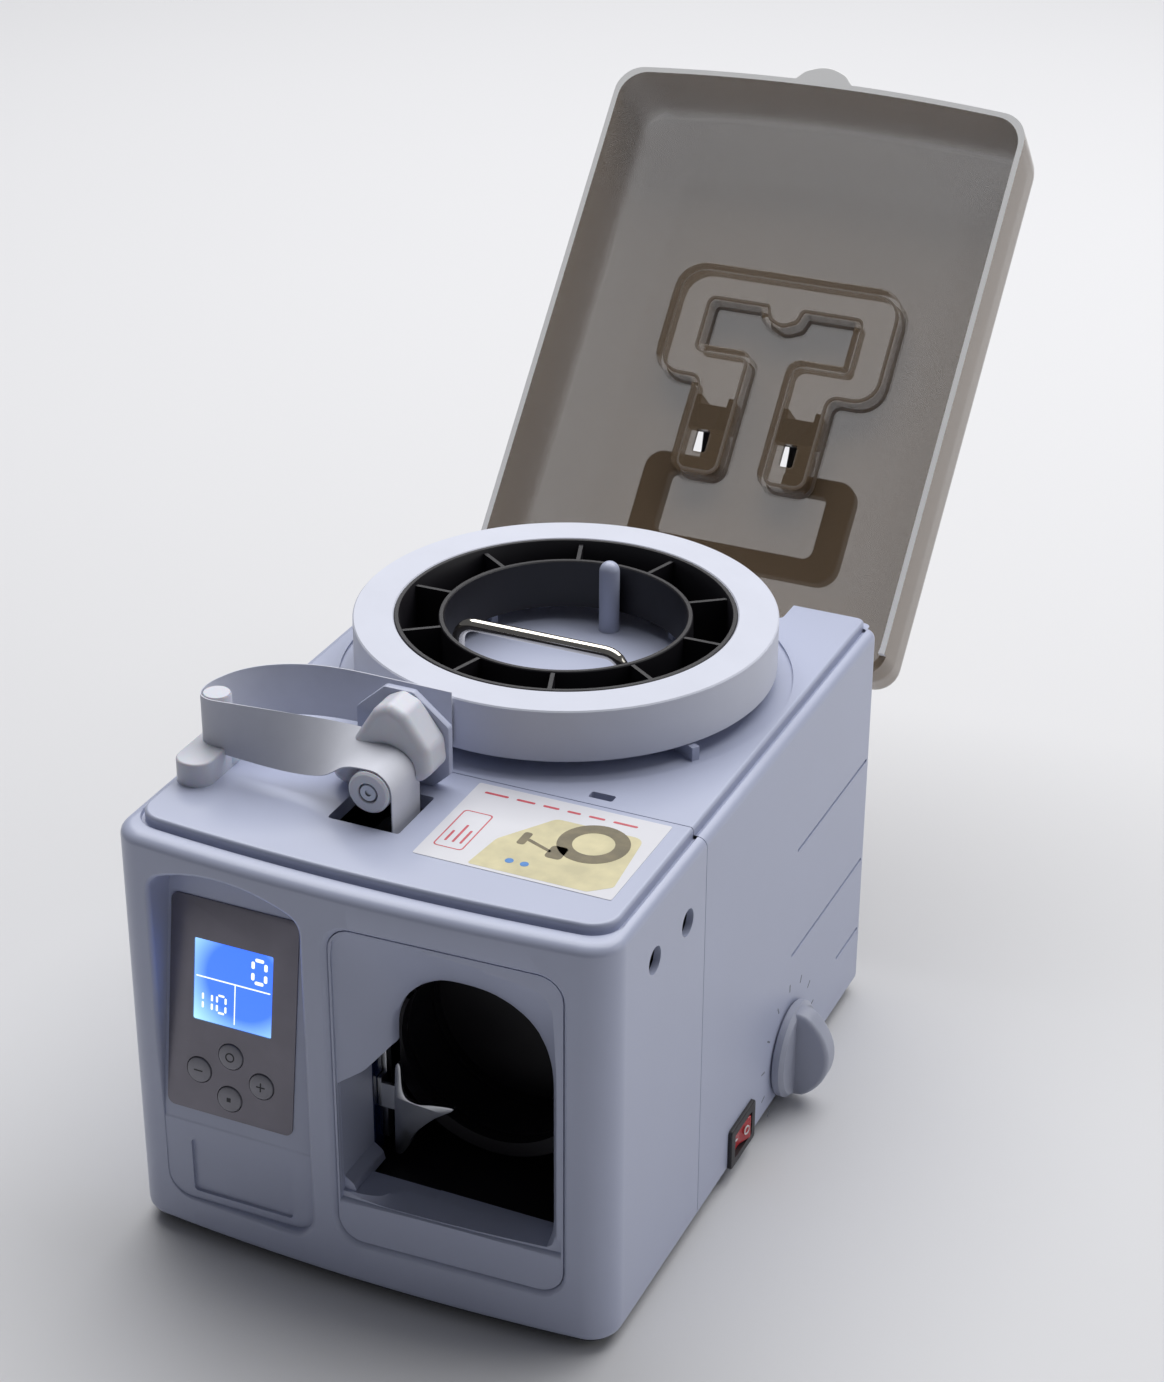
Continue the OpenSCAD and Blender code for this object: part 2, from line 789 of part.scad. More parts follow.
// One key of the front panel, standing on a spring pad
module panel_key(k) {
  color("#8d8f98") on_panel() translate([k[0], k[1], 0]) {
    translate([0, 0, -2.4]) cylinder(r = button_r, h = 3.8);
    translate([0, 0, -3.4]) cylinder(r = button_r + 1, h = 0.8);
    translate([0, 0, -3.4]) cylinder(r = 2, h = 1.2);
  }
}

module button_up() { panel_key(key_places[0]); }
module button_left() { panel_key(key_places[1]); }
module button_right() { panel_key(key_places[2]); }
module button_down() { panel_key(key_places[3]); }

module side_screws() {
  color(steel) for (p = [[-61.8, 139.5], [-89.9, 141.2]]) difference() {
    union() {
      rod_x(p[0], p[1], 4.2, 86, 89);
      rod_x(p[0], p[1], 1.8, 80, 86 + eps);
    }
    translate([88, p[0] - 0.5, p[1] - 3]) cube([2, 1, 6]);
    translate([88, p[0] - 3, p[1] - 0.5]) cube([2, 6, 1]);
  }
}

module power_inlet() {
  color(dark) difference() {
    union() {
      along_y(rear_y, rear_y + 2) rounded(42, 13, 78, 39, 3);
      along_y(rear_y - 20, rear_y + eps) rounded(46.2, 16.2, 73.8, 35.8, 2);
    }
    along_y(rear_y - 16, rear_y + 5) rounded(48.5, 18.5, 71.5, 33.5, 3);
  }
  color(steel) for (x = [54, 60, 66]) translate([x - 1, rear_y - 17, 24]) cube([2, 13, 5]);
}

module fuse_holder() {
  color(dark) {
    rod_y(32, 26, 7.5, rear_y, rear_y + 5);
    rod_y(32, 26, 5.8, rear_y - 24, rear_y + eps);
  }
}

// ---- works ----

// Shaft holes shared by both plates
module shaft_holes() {
  rod_y(cam_x, cam_z, 8, -120, 0);
  rod_y(feed_x, feed_z, 2.05, -120, 0);
  rod_y(pinch_x, feed_z, 2.05, -120, 0);
}

module front_plate() {
  color(steel) difference() {
    union() {
      translate([-86, -98, pan_z]) cube([72, 2, 158 - pan_z]);
      translate([-86, -98, 142.4]) cube([98, 2, 15.6]);
    }
    shaft_holes();
    translate([-77, -99, 14]) cube([54, 4, 42]);
    translate([-77, -99, 94]) cube([54, 4, 40]);
  }
}

module rear_plate() {
  color(steel) difference() {
    union() {
      translate([-86, -57.6, pan_z]) cube([172, 2, 135]);
      translate([-86, -57.6, 141]) cube([98, 2, 17]);
      translate([-86, -57.6, pan_z]) cube([172, 12, 2]);
    }
    shaft_holes();
    rod_y(motor_x, motor_z, 6, -60, -50);
  }
}

module shaft_bearings() {
  color(steel) for (y = [-98.5, -58.1]) difference() {
    rod_y(cam_x, cam_z, 8, y, y + 3);
    rod_y(cam_x, cam_z, 4.03, y - 1, y + 4);
  }
}

module cam_shaft() {
  color(steel) rod_y(cam_x, cam_z, 4, -102, -38);
}

module cam_pulley() {
  color("#d7d2c4") difference() {
    union() {
      rod_y(cam_x, cam_z, cam_pulley_r, -50, -43);
      for (y = [-51.5, -43]) rod_y(cam_x, cam_z, cam_pulley_r + 2, y, y + 1.5);
    }
    rod_y(cam_x, cam_z, 4, -60, -30);
    for (a = [0:60:300]) translate([cam_x, 0, cam_z]) rotate([0, a, 0])
      rod_y(13, 0, 4, -60, -30);
  }
}

module motor_pulley() {
  color(steel) difference() {
    union() {
      rod_y(motor_x, motor_z, motor_pulley_r, -50, -43);
      for (y = [-51.5, -43]) rod_y(motor_x, motor_z, motor_pulley_r + 2, y, y + 1.5);
      rod_y(motor_x, motor_z, 2.5, -53, -26);
    }
    rod_y(motor_x, motor_z, 1, -60, -48);
  }
}

// Belt around both pulleys, from one tangent line round to the other
module drive_belt() {
  color(dark) along_y(-49.6, -43.4) difference() {
    belt_loop(2);
    belt_loop(0.3);
  }
}

module belt_loop(g) {
  d = [motor_x - cam_x, motor_z - cam_z];
  a = atan2(d[1], d[0]);
  b = acos((cam_pulley_r - motor_pulley_r) / norm(d));
  n = 16;
  polygon(concat(
    [for (i = [0:n]) let (t = a + b + (360 - 2 * b) * i / n)
      [cam_x, cam_z] + (cam_pulley_r + g) * [cos(t), sin(t)] / (i == 0 || i == n ? 1 : cos((180 - b) / n))],
    [for (i = [0:n]) let (t = a - b + 2 * b * i / n)
      [motor_x, motor_z] + (motor_pulley_r + g) * [cos(t), sin(t)] / (i == 0 || i == n ? 1 : cos(b / n))]
  ));
}

module press_cam() {
  color(steel) difference() {
    rod_y(cam_x + 4, cam_z, 12, -82, -74);
    rod_y(cam_x, cam_z, 4, -90, -60);
  }
}

module main_motor() {
  color("#8b8f96") difference() {
    union() {
      rod_y(motor_x, motor_z, 18, -36, 18);
      for (s = [-1, 1]) rod_y(motor_x + 14 * s, motor_z, 2, -55.6, -35.9);
    }
    rod_y(motor_x, motor_z, 2.55, -60, -25);
  }
}

module seal_block() {
  color("#b08d57") translate([-32.6, -90, 62.5]) cube([13, 22, 22]);
  color(dark) translate([-19.6, -88, 64.5]) cube([2.5, 18, 18]);
}

module cutter_blade() {
  color("#e2e4e8") translate([-31, -90, 87.5]) cube([19, 22, 1.2]);
  color(dark) translate([-36, -88, 86.5]) cube([6, 18, 7]);
}

module feed_roller() {
  color(dark) rod_y(feed_x, feed_z, 7.4, -88, -68);
  color(steel) rod_y(feed_x, feed_z, 2, -100, -53);
}

module pinch_roller() {
  color("#d7d2c4") rod_y(pinch_x, feed_z, 5.9, -88, -68);
  color(steel) rod_y(pinch_x, feed_z, 2, -100, -54);
}

module feed_motor() {
  color("#8b8f96") difference() {
    rod_y(feed_x, feed_z, 9, -55.6, -30);
    rod_y(feed_x, feed_z, 2.3, -56, -50);
  }
}

module transformer() {
  color("#4a4c52") translate([28, 66, pan_z]) cube([44, 30, 42]);
  color("#c8742c") translate([34, 60, pan_z + 9]) cube([32, 42, 24]);
  color("#4a4c52") translate([22, 70, pan_z]) cube([56, 22, 2]);
}

module control_board() {
  color("#1d5f3a") translate([-80, -30, pan_z + 6]) cube([60, 100, 1.6]);
  color(steel) for (x = [-76, -24], y = [-26, 66]) translate([x, y, pan_z]) cylinder(r = 2.5, h = 6);
  color(dark) {
    translate([-62, 0, pan_z + 7.6]) cube([14, 14, 3]);
    translate([-40, 30, pan_z + 7.6]) cube([12, 24, 14]);
    translate([-72, 40, pan_z + 7.6]) cylinder(r = 6, h = 20);
    translate([-72, 56, pan_z + 7.6]) cylinder(r = 6, h = 20);
    translate([-76, -20, pan_z + 7.6]) cube([40, 6, 9]);
  }
}

module cooling_fan() {
  color(dark) difference() {
    translate([-68, rear_y - wall - 15, 50]) cube([46, 15, 46]);
    rod_y(-45, 73, 21, rear_y - 40, rear_y - 0);
  }
  color(dark) {
    rod_y(-45, 73, 7, rear_y - wall - 14, rear_y - wall - 1);
    for (a = [0:45:315]) translate([-45, rear_y - wall - 8, 73]) rotate([0, a, 0])
      translate([6, -4, -0.8]) cube([13, 8, 1.6]);
    for (a = [22:90:292]) translate([-45, rear_y - wall - 2.5, 73]) rotate([0, a, 0])
      translate([6, 0, -1.5]) cube([16, 2, 3]);
  }
}

bottom_pan();
rubber_feet();
front_cover();
rear_housing();
bay_funnel();
bay_liner();
tape_loop_ring();
sensor_window();
clamp_plate();
roll_ribs();
roll_post();
carry_handle();
handle_nuts();
tape_core();
tape_roll();
paper_tape();
guide_post();
twist_bracket();
twist_arch();
tape_roller();
roller_screw();
loading_label();
dust_lid();
lid_hinge_pins();
handle_brackets();
handle_pins();
lid_handle();
tension_knob();
knob_shaft();
potentiometer();
switch_bezel();
power_rocker();
panel_overlay();
display_module();
display_window();
button_up();
button_left();
button_right();
button_down();
side_screws();
power_inlet();
fuse_holder();
front_plate();
rear_plate();
main_motor();
motor_pulley();
cam_pulley();
drive_belt();
cam_shaft();
press_cam();
shaft_bearings();
seal_block();
cutter_blade();
feed_roller();
pinch_roller();
feed_motor();
transformer();
control_board();
cooling_fan();
pan_screws();
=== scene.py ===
"""Looks of a desktop banknote banding machine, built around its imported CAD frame.

Sizes and places are in millimetres, +X to the machine's right, -Y to its front, +Z up.
Meshes are written in metres.
"""

import math

import bmesh
import bpy
from mathutils import Matrix, Vector


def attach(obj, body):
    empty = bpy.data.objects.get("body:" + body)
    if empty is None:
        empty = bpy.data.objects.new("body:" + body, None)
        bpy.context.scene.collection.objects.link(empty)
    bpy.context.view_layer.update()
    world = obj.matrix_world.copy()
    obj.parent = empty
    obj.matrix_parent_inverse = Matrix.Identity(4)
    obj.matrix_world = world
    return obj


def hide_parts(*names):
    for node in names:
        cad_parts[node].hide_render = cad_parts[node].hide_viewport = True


MM = 0.001
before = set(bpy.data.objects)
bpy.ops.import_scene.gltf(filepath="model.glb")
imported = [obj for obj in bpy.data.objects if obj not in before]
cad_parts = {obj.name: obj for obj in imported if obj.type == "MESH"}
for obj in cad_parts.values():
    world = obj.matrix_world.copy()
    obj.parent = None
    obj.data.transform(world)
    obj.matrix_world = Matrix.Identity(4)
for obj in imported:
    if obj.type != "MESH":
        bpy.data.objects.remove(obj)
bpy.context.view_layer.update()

# Body
HALF_W = 93.0
FRONT_Y = -124.0
BACK_Y = 128.0
BOW = 5.0
BOW_R = (HALF_W**2 + BOW**2) / (2 * BOW)
FOOT_H = 3.5
RIM_Z = 163.5
DECK_Z = 166.5
WALL = 2.5
SEAM_Y = -46.0
GROOVE_W = 1.4
GROOVE_D = 1.2

# Front
ARCH_X = -48.3
ARCH_HW = 29.8
PANEL_X = -51.8
PANEL_Y = -124.6
LEAN_Z = 55.5
LEAN = math.radians(8.5)
LCD_V = 51.8
LCD_HALF = 15.5
KEYS_V = 17.2
KEY_R = 4.8
BAY_X = (-8.0, 76.0)
BAY_Z = (22.5, 149.5)
SILL_Z = 41.0
THROAT_Y = -114.0

# Deck
ROLL = (1.2, 40.4)
ROLL_Z = 171.0
ROLL_R = 78.0
CORE_R = 63.0
BORE_R = 44.6
TAPE_W = 20.0
ROLLER = (-12.0, 178.5)
ROLLER_R = 7.6
POST = (-79.6, -72.0)

# Dust lid, measured closed
LID_OPEN = math.radians(-131.5)
LID_Z = 163.9
LID_H = 43.0
LID_WALL = 2.2
HINGE = (124.2, 146.8)
WELL_Z = LID_Z + 32.6
RIM_H = 2.3
EDGE_SLOT = 1
GRIP_PIVOT = (17.0, LID_Z + 44.2)

# Right side
KNOB = (44.0, 22.5)
KNOB_R = 19.0
ROCKER = (-5.0, 14.5)


# ---- small tools ----


def linear(colour, alpha=1.0):
    """Linear RGBA of an sRGB hex colour."""
    channels = [int(colour[i : i + 2], 16) / 255 for i in (1, 3, 5)]
    return [c / 12.92 if c <= 0.04045 else ((c + 0.055) / 1.055) ** 2.4 for c in channels] + [alpha]


def add_node(tree, kind, settings=None, links=None):
    """Adds a node, with values for its sockets or properties and links into its sockets."""
    node = tree.nodes.new(kind)
    for name, value in (settings or {}).items():
        if isinstance(name, int) or name in node.inputs:
            node.inputs[name].default_value = value
        else:
            setattr(node, name, value)
    for name, source in (links or {}).items():
        tree.links.new(source, node.inputs[name])
    return node


def arc(cx, cy, r, start, end, steps):
    """Points on an arc, angles in degrees."""
    angles = [math.radians(start + (end - start) * k / steps) for k in range(steps + 1)]
    return [(cx + r * math.cos(a), cy + r * math.sin(a)) for a in angles]


def soft_outline(corners, steps=5):
    """Closed outline from corners (x, y, radius), each corner rounded by its radius."""
    points = []
    for i, (x, y, r) in enumerate(corners):
        corner = Vector((x, y))
        back = (Vector(corners[i - 1][:2]) - corner).normalized()
        ahead = (Vector(corners[(i + 1) % len(corners)][:2]) - corner).normalized()
        if r == 0:
            points.append((x, y))
            continue
        half = back.angle(ahead) / 2
        start = corner + back * r / math.tan(half)
        end = corner + ahead * r / math.tan(half)
        centre = corner + (back + ahead).normalized() * r / math.sin(half)
        a0 = math.atan2(*(start - centre).yx)
        turn = (math.atan2(*(end - centre).yx) - a0 + math.pi) % (2 * math.pi) - math.pi
        points += arc(centre.x, centre.y, r, math.degrees(a0), math.degrees(a0 + turn), steps)
    area = sum(points[i - 1][0] * p[1] - p[0] * points[i - 1][1] for i, p in enumerate(points))
    return points if area > 0 else points[::-1]


def box_outline(x0, y0, x1, y1, r, steps=6):
    return soft_outline([(x0, y0, r), (x1, y0, r), (x1, y1, r), (x0, y1, r)], steps)


def disc_outline(cx, cy, r, steps=48):
    return arc(cx, cy, r, 0, 360 - 360 / steps, steps - 1)


def grow(outline, by):
    """Moves a closed outline outwards along the bisectors of its corners."""
    moved = []
    for i, p in enumerate(outline):
        back = Vector((p[0] - outline[i - 1][0], p[1] - outline[i - 1][1]))
        after = outline[(i + 1) % len(outline)]
        ahead = Vector((after[0] - p[0], after[1] - p[1]))
        if back.length < 1e-6 or ahead.length < 1e-6:
            back = ahead = back + ahead
        back.normalize()
        ahead.normalize()
        along = (back + ahead).normalized()
        stretch = 1 / max(0.5, along.dot(back))
        moved.append((p[0] + along.y * by * stretch, p[1] - along.x * by * stretch))
    return moved


def upright(u, v, w):
    return (u, v, w)


def facing_front(u, v, w):
    return (u, w, v)


def facing_side(u, v, w):
    return (w, u, v)


def on_panel(u, v, w):
    """On the leaning keypad face: u across, v up the slope, w out of it."""
    return (
        PANEL_X + u,
        PANEL_Y + v * math.sin(LEAN) - w * math.cos(LEAN),
        LEAN_Z + v * math.cos(LEAN) + w * math.sin(LEAN),
    )


def on_lid(u, v, w):
    """A place on the closed lid, swung to where the open lid has it."""
    y, z = v - HINGE[0], w - HINGE[1]
    c, s = math.cos(LID_OPEN), math.sin(LID_OPEN)
    return (u, HINGE[0] + y * c - z * s, HINGE[1] + y * s + z * c)


def seal(new, bm=None):
    """Turns a new solid's faces outwards and adds it to an older mesh, if one is given."""
    bmesh.ops.remove_doubles(new, verts=new.verts, dist=0.002 * MM)
    bmesh.ops.dissolve_degenerate(new, dist=0.001 * MM, edges=new.edges)
    bmesh.ops.recalc_face_normals(new, faces=new.faces)
    if new.calc_volume(signed=True) < 0:
        bmesh.ops.reverse_faces(new, faces=new.faces)
    if bm is None:
        return new
    mesh = bpy.data.meshes.new("part")
    new.to_mesh(mesh)
    new.free()
    bm.from_mesh(mesh)
    bpy.data.meshes.remove(mesh)
    return bm


def loft(rings, place=upright, bm=None):
    """A closed solid through rings of (u, v, w) points that all have the same count."""
    new = bmesh.new()
    rows = [[new.verts.new(Vector(place(*p)) * MM) for p in ring] for ring in rings]
    new.faces.new(rows[0])
    new.faces.new(rows[-1])
    for low, high in zip(rows, rows[1:]):
        for i in range(len(low)):
            new.faces.new((low[i - 1], low[i], high[i], high[i - 1]))
    return seal(new, bm)


def slab(outline, low, high, edge=(0, 0), place=upright, bm=None, steps=4):
    """An outline raised from low to high, its two rims rounded by edge (low, high)."""
    rings = []
    for k in range(steps + 1 if edge[0] else 1):
        a = math.pi / 2 * k / steps if edge[0] else math.pi / 2
        rings.append((-edge[0] * (1 - math.sin(a)), low + edge[0] * (1 - math.cos(a) if edge[0] else 0)))
    for k in range(steps + 1 if edge[1] else 1):
        a = math.pi / 2 * k / steps if edge[1] else 0
        rings.append((-edge[1] * (1 - math.cos(a)), high - edge[1] * (1 - math.sin(a) if edge[1] else 0)))
    return loft([[(x, y, w) for x, y in grow(outline, g)] for g, w in rings], place, bm)


def spin(profile, centre, place=upright, bm=None, steps=96, ring=False):
    """A turned solid from (radius, height) points; a ring's profile closes on itself."""
    new = bmesh.new()
    rows = []
    for k in range(steps):
        a = 2 * math.pi * k / steps
        rows.append([
            new.verts.new(Vector(place(centre[0] + r * math.cos(a), centre[1] + r * math.sin(a), h)) * MM)
            for r, h in profile
        ])
    last = len(profile) if ring else len(profile) - 1
    for k in range(steps):
        a, b = rows[k - 1], rows[k]
        for i in range(last):
            j = (i + 1) % len(profile)
            new.faces.new((a[i], b[i], b[j], a[j]))
    return seal(new, bm)


def tube(path, radius, bm=None, sides=16):
    """A closed round tube along points."""
    points = [Vector(p) for p in path]
    rings = []
    normal = (points[1] - points[0]).orthogonal().normalized()
    for i, p in enumerate(points):
        ahead = (points[min(i + 1, len(points) - 1)] - points[max(i - 1, 0)]).normalized()
        normal = (normal - ahead * normal.dot(ahead)).normalized()
        side = ahead.cross(normal)
        turns = [2 * math.pi * k / sides for k in range(sides)]
        rings.append([p + normal * radius * math.cos(t) + side * radius * math.sin(t) for t in turns])
    return loft(rings, bm=bm)


def smooth_path(points, steps=8):
    """A curve through points, by Catmull and Rom's rule."""
    points = [Vector(p) for p in points]
    padded = [2 * points[0] - points[1]] + points + [2 * points[-1] - points[-2]]
    curve = []
    for a, b, c, d in zip(padded, padded[1:], padded[2:], padded[3:]):
        for k in range(steps):
            t = k / steps
            curve.append(
                0.5 * (2 * b + (c - a) * t + (2 * a - 5 * b + 4 * c - d) * t**2 + (3 * b - a - 3 * c + d) * t**3)
            )
    return curve + [points[-1]]


def as_object(name, bm, material=None):
    mesh = bpy.data.meshes.new(name)
    bm.to_mesh(mesh)
    bm.free()
    if material:
        mesh.materials.append(material)
    obj = bpy.data.objects.new(name, mesh)
    bpy.context.scene.collection.objects.link(obj)
    return obj


def settle(obj):
    """Turns the object's modifiers into plain mesh."""
    graph = bpy.context.evaluated_depsgraph_get()
    mesh = bpy.data.meshes.new_from_object(obj.evaluated_get(graph))
    obj.modifiers.clear()
    obj.data = mesh


def take_mesh(obj):
    """The object's mesh for further work; the object goes."""
    bm = bmesh.new()
    bm.from_mesh(obj.data)
    bpy.data.objects.remove(obj)
    return bm


def carve(obj, tool, operation="DIFFERENCE"):
    """Cuts the tool's solid out of the object, or keeps or joins what they share."""
    other = as_object("tool", tool)
    step = obj.modifiers.new("carve", "BOOLEAN")
    step.operation = operation
    step.solver = "MANIFOLD"
    step.object = other
    settle(obj)
    bpy.data.objects.remove(other)


def place_piece(obj, body, nodes=(), sharp=35, weighted=False):
    """Shades a finished piece, lets it ride on its body and stand for its CAD nodes."""
    obj.data.shade_smooth()
    obj.data.set_sharp_from_angle(angle=math.radians(sharp))
    if weighted:
        step = obj.modifiers.new("normals", "WEIGHTED_NORMAL")
        step.keep_sharp = True
        settle(obj)
    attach(obj, body)
    if nodes:
        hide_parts(*nodes)
    return obj


def soften(node, body, material, width, angle=30):
    """A copy of a CAD node with its sharp edges rounded, standing for that node."""
    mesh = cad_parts[node].data.copy()
    bm = bmesh.new()
    bm.from_mesh(mesh)
    bmesh.ops.remove_doubles(bm, verts=bm.verts, dist=0.01 * MM)
    bmesh.ops.dissolve_limit(bm, angle_limit=math.radians(1), verts=bm.verts, edges=bm.edges)
    bm.to_mesh(mesh)
    bm.free()
    mesh.materials.clear()
    mesh.materials.append(material)
    obj = bpy.data.objects.new("soft_" + node, mesh)
    bpy.context.scene.collection.objects.link(obj)
    step = obj.modifiers.new("edges", "BEVEL")
    step.width = width * MM
    step.segments = 2
    step.limit_method = "ANGLE"
    step.angle_limit = math.radians(angle)
    settle(obj)
    return place_piece(obj, body, [node], weighted=True)


# ---- finishes ----


def finish(name, colour, roughness, metallic=0.0, ior=1.5, drift=(40, 0.05), grain=(0.6, 0.02),
           stretch=(1, 1, 1), **sockets):
    """A surface whose colour drifts in patches of drift mm by a share, over a fine grain of
    grain mm whose bumps are grain mm deep."""
    material = bpy.data.materials.new(name)
    material.use_nodes = True
    tree = material.node_tree
    shader = tree.nodes["Principled BSDF"]
    values = {"Metallic": metallic, "IOR": ior, **sockets}
    for socket, value in values.items():
        shader.inputs[socket].default_value = value
    place = add_node(tree, "ShaderNodeTexCoord").outputs["Object"]
    patches = add_node(tree, "ShaderNodeTexNoise", {"Scale": 1000 / drift[0], "Detail": 3.0},
                       {"Vector": place})
    ramp = add_node(tree, "ShaderNodeValToRGB", links={"Fac": patches.outputs["Fac"]})
    base = linear(colour)
    for stop, place_on_ramp, share in zip(ramp.color_ramp.elements, (0.3, 0.7), (1 - drift[1], 1 + drift[1])):
        stop.position = place_on_ramp
        stop.color = [min(1.0, c * share) for c in base[:3]] + [1.0]
    tree.links.new(ramp.outputs["Color"], shader.inputs["Base Color"])
    spread = add_node(tree, "ShaderNodeMapRange",
                      {"To Min": roughness - 0.04, "To Max": roughness + 0.04},
                      {"Value": patches.outputs["Fac"]})
    tree.links.new(spread.outputs["Result"], shader.inputs["Roughness"])
    turned = add_node(tree, "ShaderNodeMapping", {"Scale": stretch}, {"Vector": place})
    fine = add_node(tree, "ShaderNodeTexNoise", {"Scale": 1000 / grain[0], "Detail": 2.0},
                    {"Vector": turned.outputs["Vector"]})
    bump = add_node(tree, "ShaderNodeBump", {"Strength": 0.6, "Distance": grain[1] * MM},
                    {"Height": fine.outputs["Fac"]})
    tree.links.new(bump.outputs["Normal"], shader.inputs["Normal"])
    return material


def lit(name, inner, outer, strength, centre, reach):
    """A backlit film, inner colour at its centre and outer colour reach mm away."""
    material = finish(name, inner, 0.25, grain=(0.4, 0.002))
    tree = material.node_tree
    shader = tree.nodes["Principled BSDF"]
    place = add_node(tree, "ShaderNodeTexCoord").outputs["Object"]
    scale = 1 / (reach * MM)
    moved = add_node(tree, "ShaderNodeMapping",
                     {"Location": [-c * MM * scale for c in centre], "Scale": [scale] * 3}, {"Vector": place})
    ball = add_node(tree, "ShaderNodeTexGradient", {"gradient_type": "SPHERICAL"},
                    {"Vector": moved.outputs["Vector"]})
    ramp = add_node(tree, "ShaderNodeValToRGB", links={"Fac": ball.outputs["Fac"]})
    ramp.color_ramp.elements[0].color = linear(outer)
    ramp.color_ramp.elements[1].color = linear(inner)
    ramp.color_ramp.elements[1].position = 0.45
    tree.links.new(ramp.outputs["Color"], shader.inputs["Emission Color"])
    shader.inputs["Emission Strength"].default_value = strength
    return material


# Injection-moulded ABS, spark-eroded mould: soft highlights, a faint skin grain
case_abs = finish("case_abs_moulded", "#B3B9D0", 0.36, ior=1.53, drift=(60, 0.02), grain=(0.9, 0.006))
front_abs = finish("front_abs_moulded", "#B3B9D0", 0.3, ior=1.53, drift=(60, 0.02), grain=(0.9, 0.006))
knob_abs = finish("knob_abs_moulded", "#A7ABBB", 0.42, ior=1.53, drift=(20, 0.03), grain=(0.7, 0.01))
# Black glass-filled nylon and ABS: matt, grey sheen on its edges
black_abs = finish("black_abs_moulded", "#17151B", 0.45, ior=1.53, drift=(15, 0.15), grain=(0.5, 0.015))
# Natural cast nylon: milky, waxy, light passes a little way into it
nylon = finish("natural_nylon_turned", "#D6D8E2", 0.42, ior=1.53, drift=(12, 0.02), grain=(0.5, 0.006))
nylon.node_tree.nodes["Principled BSDF"].inputs["Subsurface Weight"].default_value = 0.25
nylon.node_tree.nodes["Principled BSDF"].inputs["Subsurface Scale"].default_value = 2 * MM
# White banding paper with a coated back: flat white with faint fibres
band_paper = finish("banding_paper_coated", "#D4D6E0", 0.6, ior=1.46, drift=(8, 0.02), grain=(0.35, 0.01),
                    stretch=(1, 1, 4))
label_paper = finish("label_paper_glossy", "#D8D8DE", 0.3, ior=1.5, drift=(14, 0.01), grain=(0.4, 0.003))
print_red = finish("label_ink_red", "#C4505C", 0.4, drift=(2, 0.1), grain=(0.3, 0.002))
print_beige = finish("label_ink_beige", "#CDC49C", 0.35, drift=(9, 0.12), grain=(0.3, 0.002))
print_brown = finish("label_ink_brown", "#6E6448", 0.35, drift=(4, 0.2), grain=(0.3, 0.002))
print_blue = finish("label_ink_blue", "#3F7FC4", 0.35, drift=(3, 0.1), grain=(0.3, 0.002))
print_grey = finish("dial_ink_grey", "#6F7480", 0.5, drift=(3, 0.15), grain=(0.3, 0.002))
# Chromed wire: mirror bright with faint draw lines
chrome_wire = finish("chromed_wire_drawn", "#D9D4CA", 0.09, metallic=1.0, drift=(10, 0.03),
                     grain=(0.5, 0.002),
                     stretch=(0.1, 1, 1))
# Rolled stainless sheet and turned steel, brushed along X
brushed = finish("stainless_sheet_brushed", "#C6C8CC", 0.3, metallic=1.0, drift=(12, 0.06),
                 grain=(0.25, 0.006),
                 stretch=(0.08, 1, 1))
zinc = finish("zinc_plated_steel", "#AEB2B8", 0.34, metallic=1.0, drift=(6, 0.08), grain=(0.3, 0.006))
motor_can = finish("motor_can_plated", "#8A8D92", 0.4, metallic=1.0, drift=(14, 0.08), grain=(0.4, 0.008))
brass = finish("heater_brass_machined", "#C09A55", 0.32, metallic=1.0, drift=(8, 0.1), grain=(0.3, 0.006))
pan_coat = finish("pan_powder_coat", "#33363D", 0.55, drift=(25, 0.05), grain=(0.8, 0.03))
rubber = finish("foot_rubber_moulded", "#191A1D", 0.75, ior=1.52, drift=(8, 0.1), grain=(0.5, 0.03))
board = finish("circuit_board_green", "#1F5B38", 0.45, drift=(6, 0.12), grain=(0.8, 0.02))
red_cap = finish("rocker_red_polycarbonate", "#B8202A", 0.2, ior=1.58, drift=(6, 0.05), grain=(0.6, 0.003))
rocker_ink = finish("rocker_mark_white", "#E9E3E3", 0.4, drift=(3, 0.03), grain=(0.3, 0.002))
# Metallised membrane film: fine flake, slow satin sheen
panel_film = finish("membrane_film_metallised", "#7D7A83", 0.34, metallic=0.55, drift=(16, 0.07),
                    grain=(0.35, 0.008))
key_film = finish("key_cap_satin", "#8C8B93", 0.4, metallic=0.3, drift=(4, 0.06), grain=(0.3, 0.008))
key_ink = finish("key_ink_dark", "#2C2C33", 0.5, drift=(2, 0.1), grain=(0.3, 0.002))
# Infrared window: nearly black, deep blue in light
sensor_blue = finish("sensor_window_blue", "#0E1A3E", 0.12, ior=1.49, drift=(10, 0.3), grain=(0.6, 0.003))


def smoked_acrylic():
    """Smoked acrylic: see-through taupe that darkens where the wall is seen on edge."""
    material = finish("smoked_acrylic_moulded", "#7C6953", 0.1, ior=1.49, drift=(50, 0.04), grain=(6, 0.003))
    tree = material.node_tree
    shader = tree.nodes["Principled BSDF"]
    edge = add_node(tree, "ShaderNodeLayerWeight", {"Blend": 0.35})
    ramp = add_node(tree, "ShaderNodeMapRange", {"To Min": 0.56, "To Max": 0.95},
                    {"Value": edge.outputs["Facing"]})
    tree.links.new(ramp.outputs["Result"], shader.inputs["Alpha"])
    return material


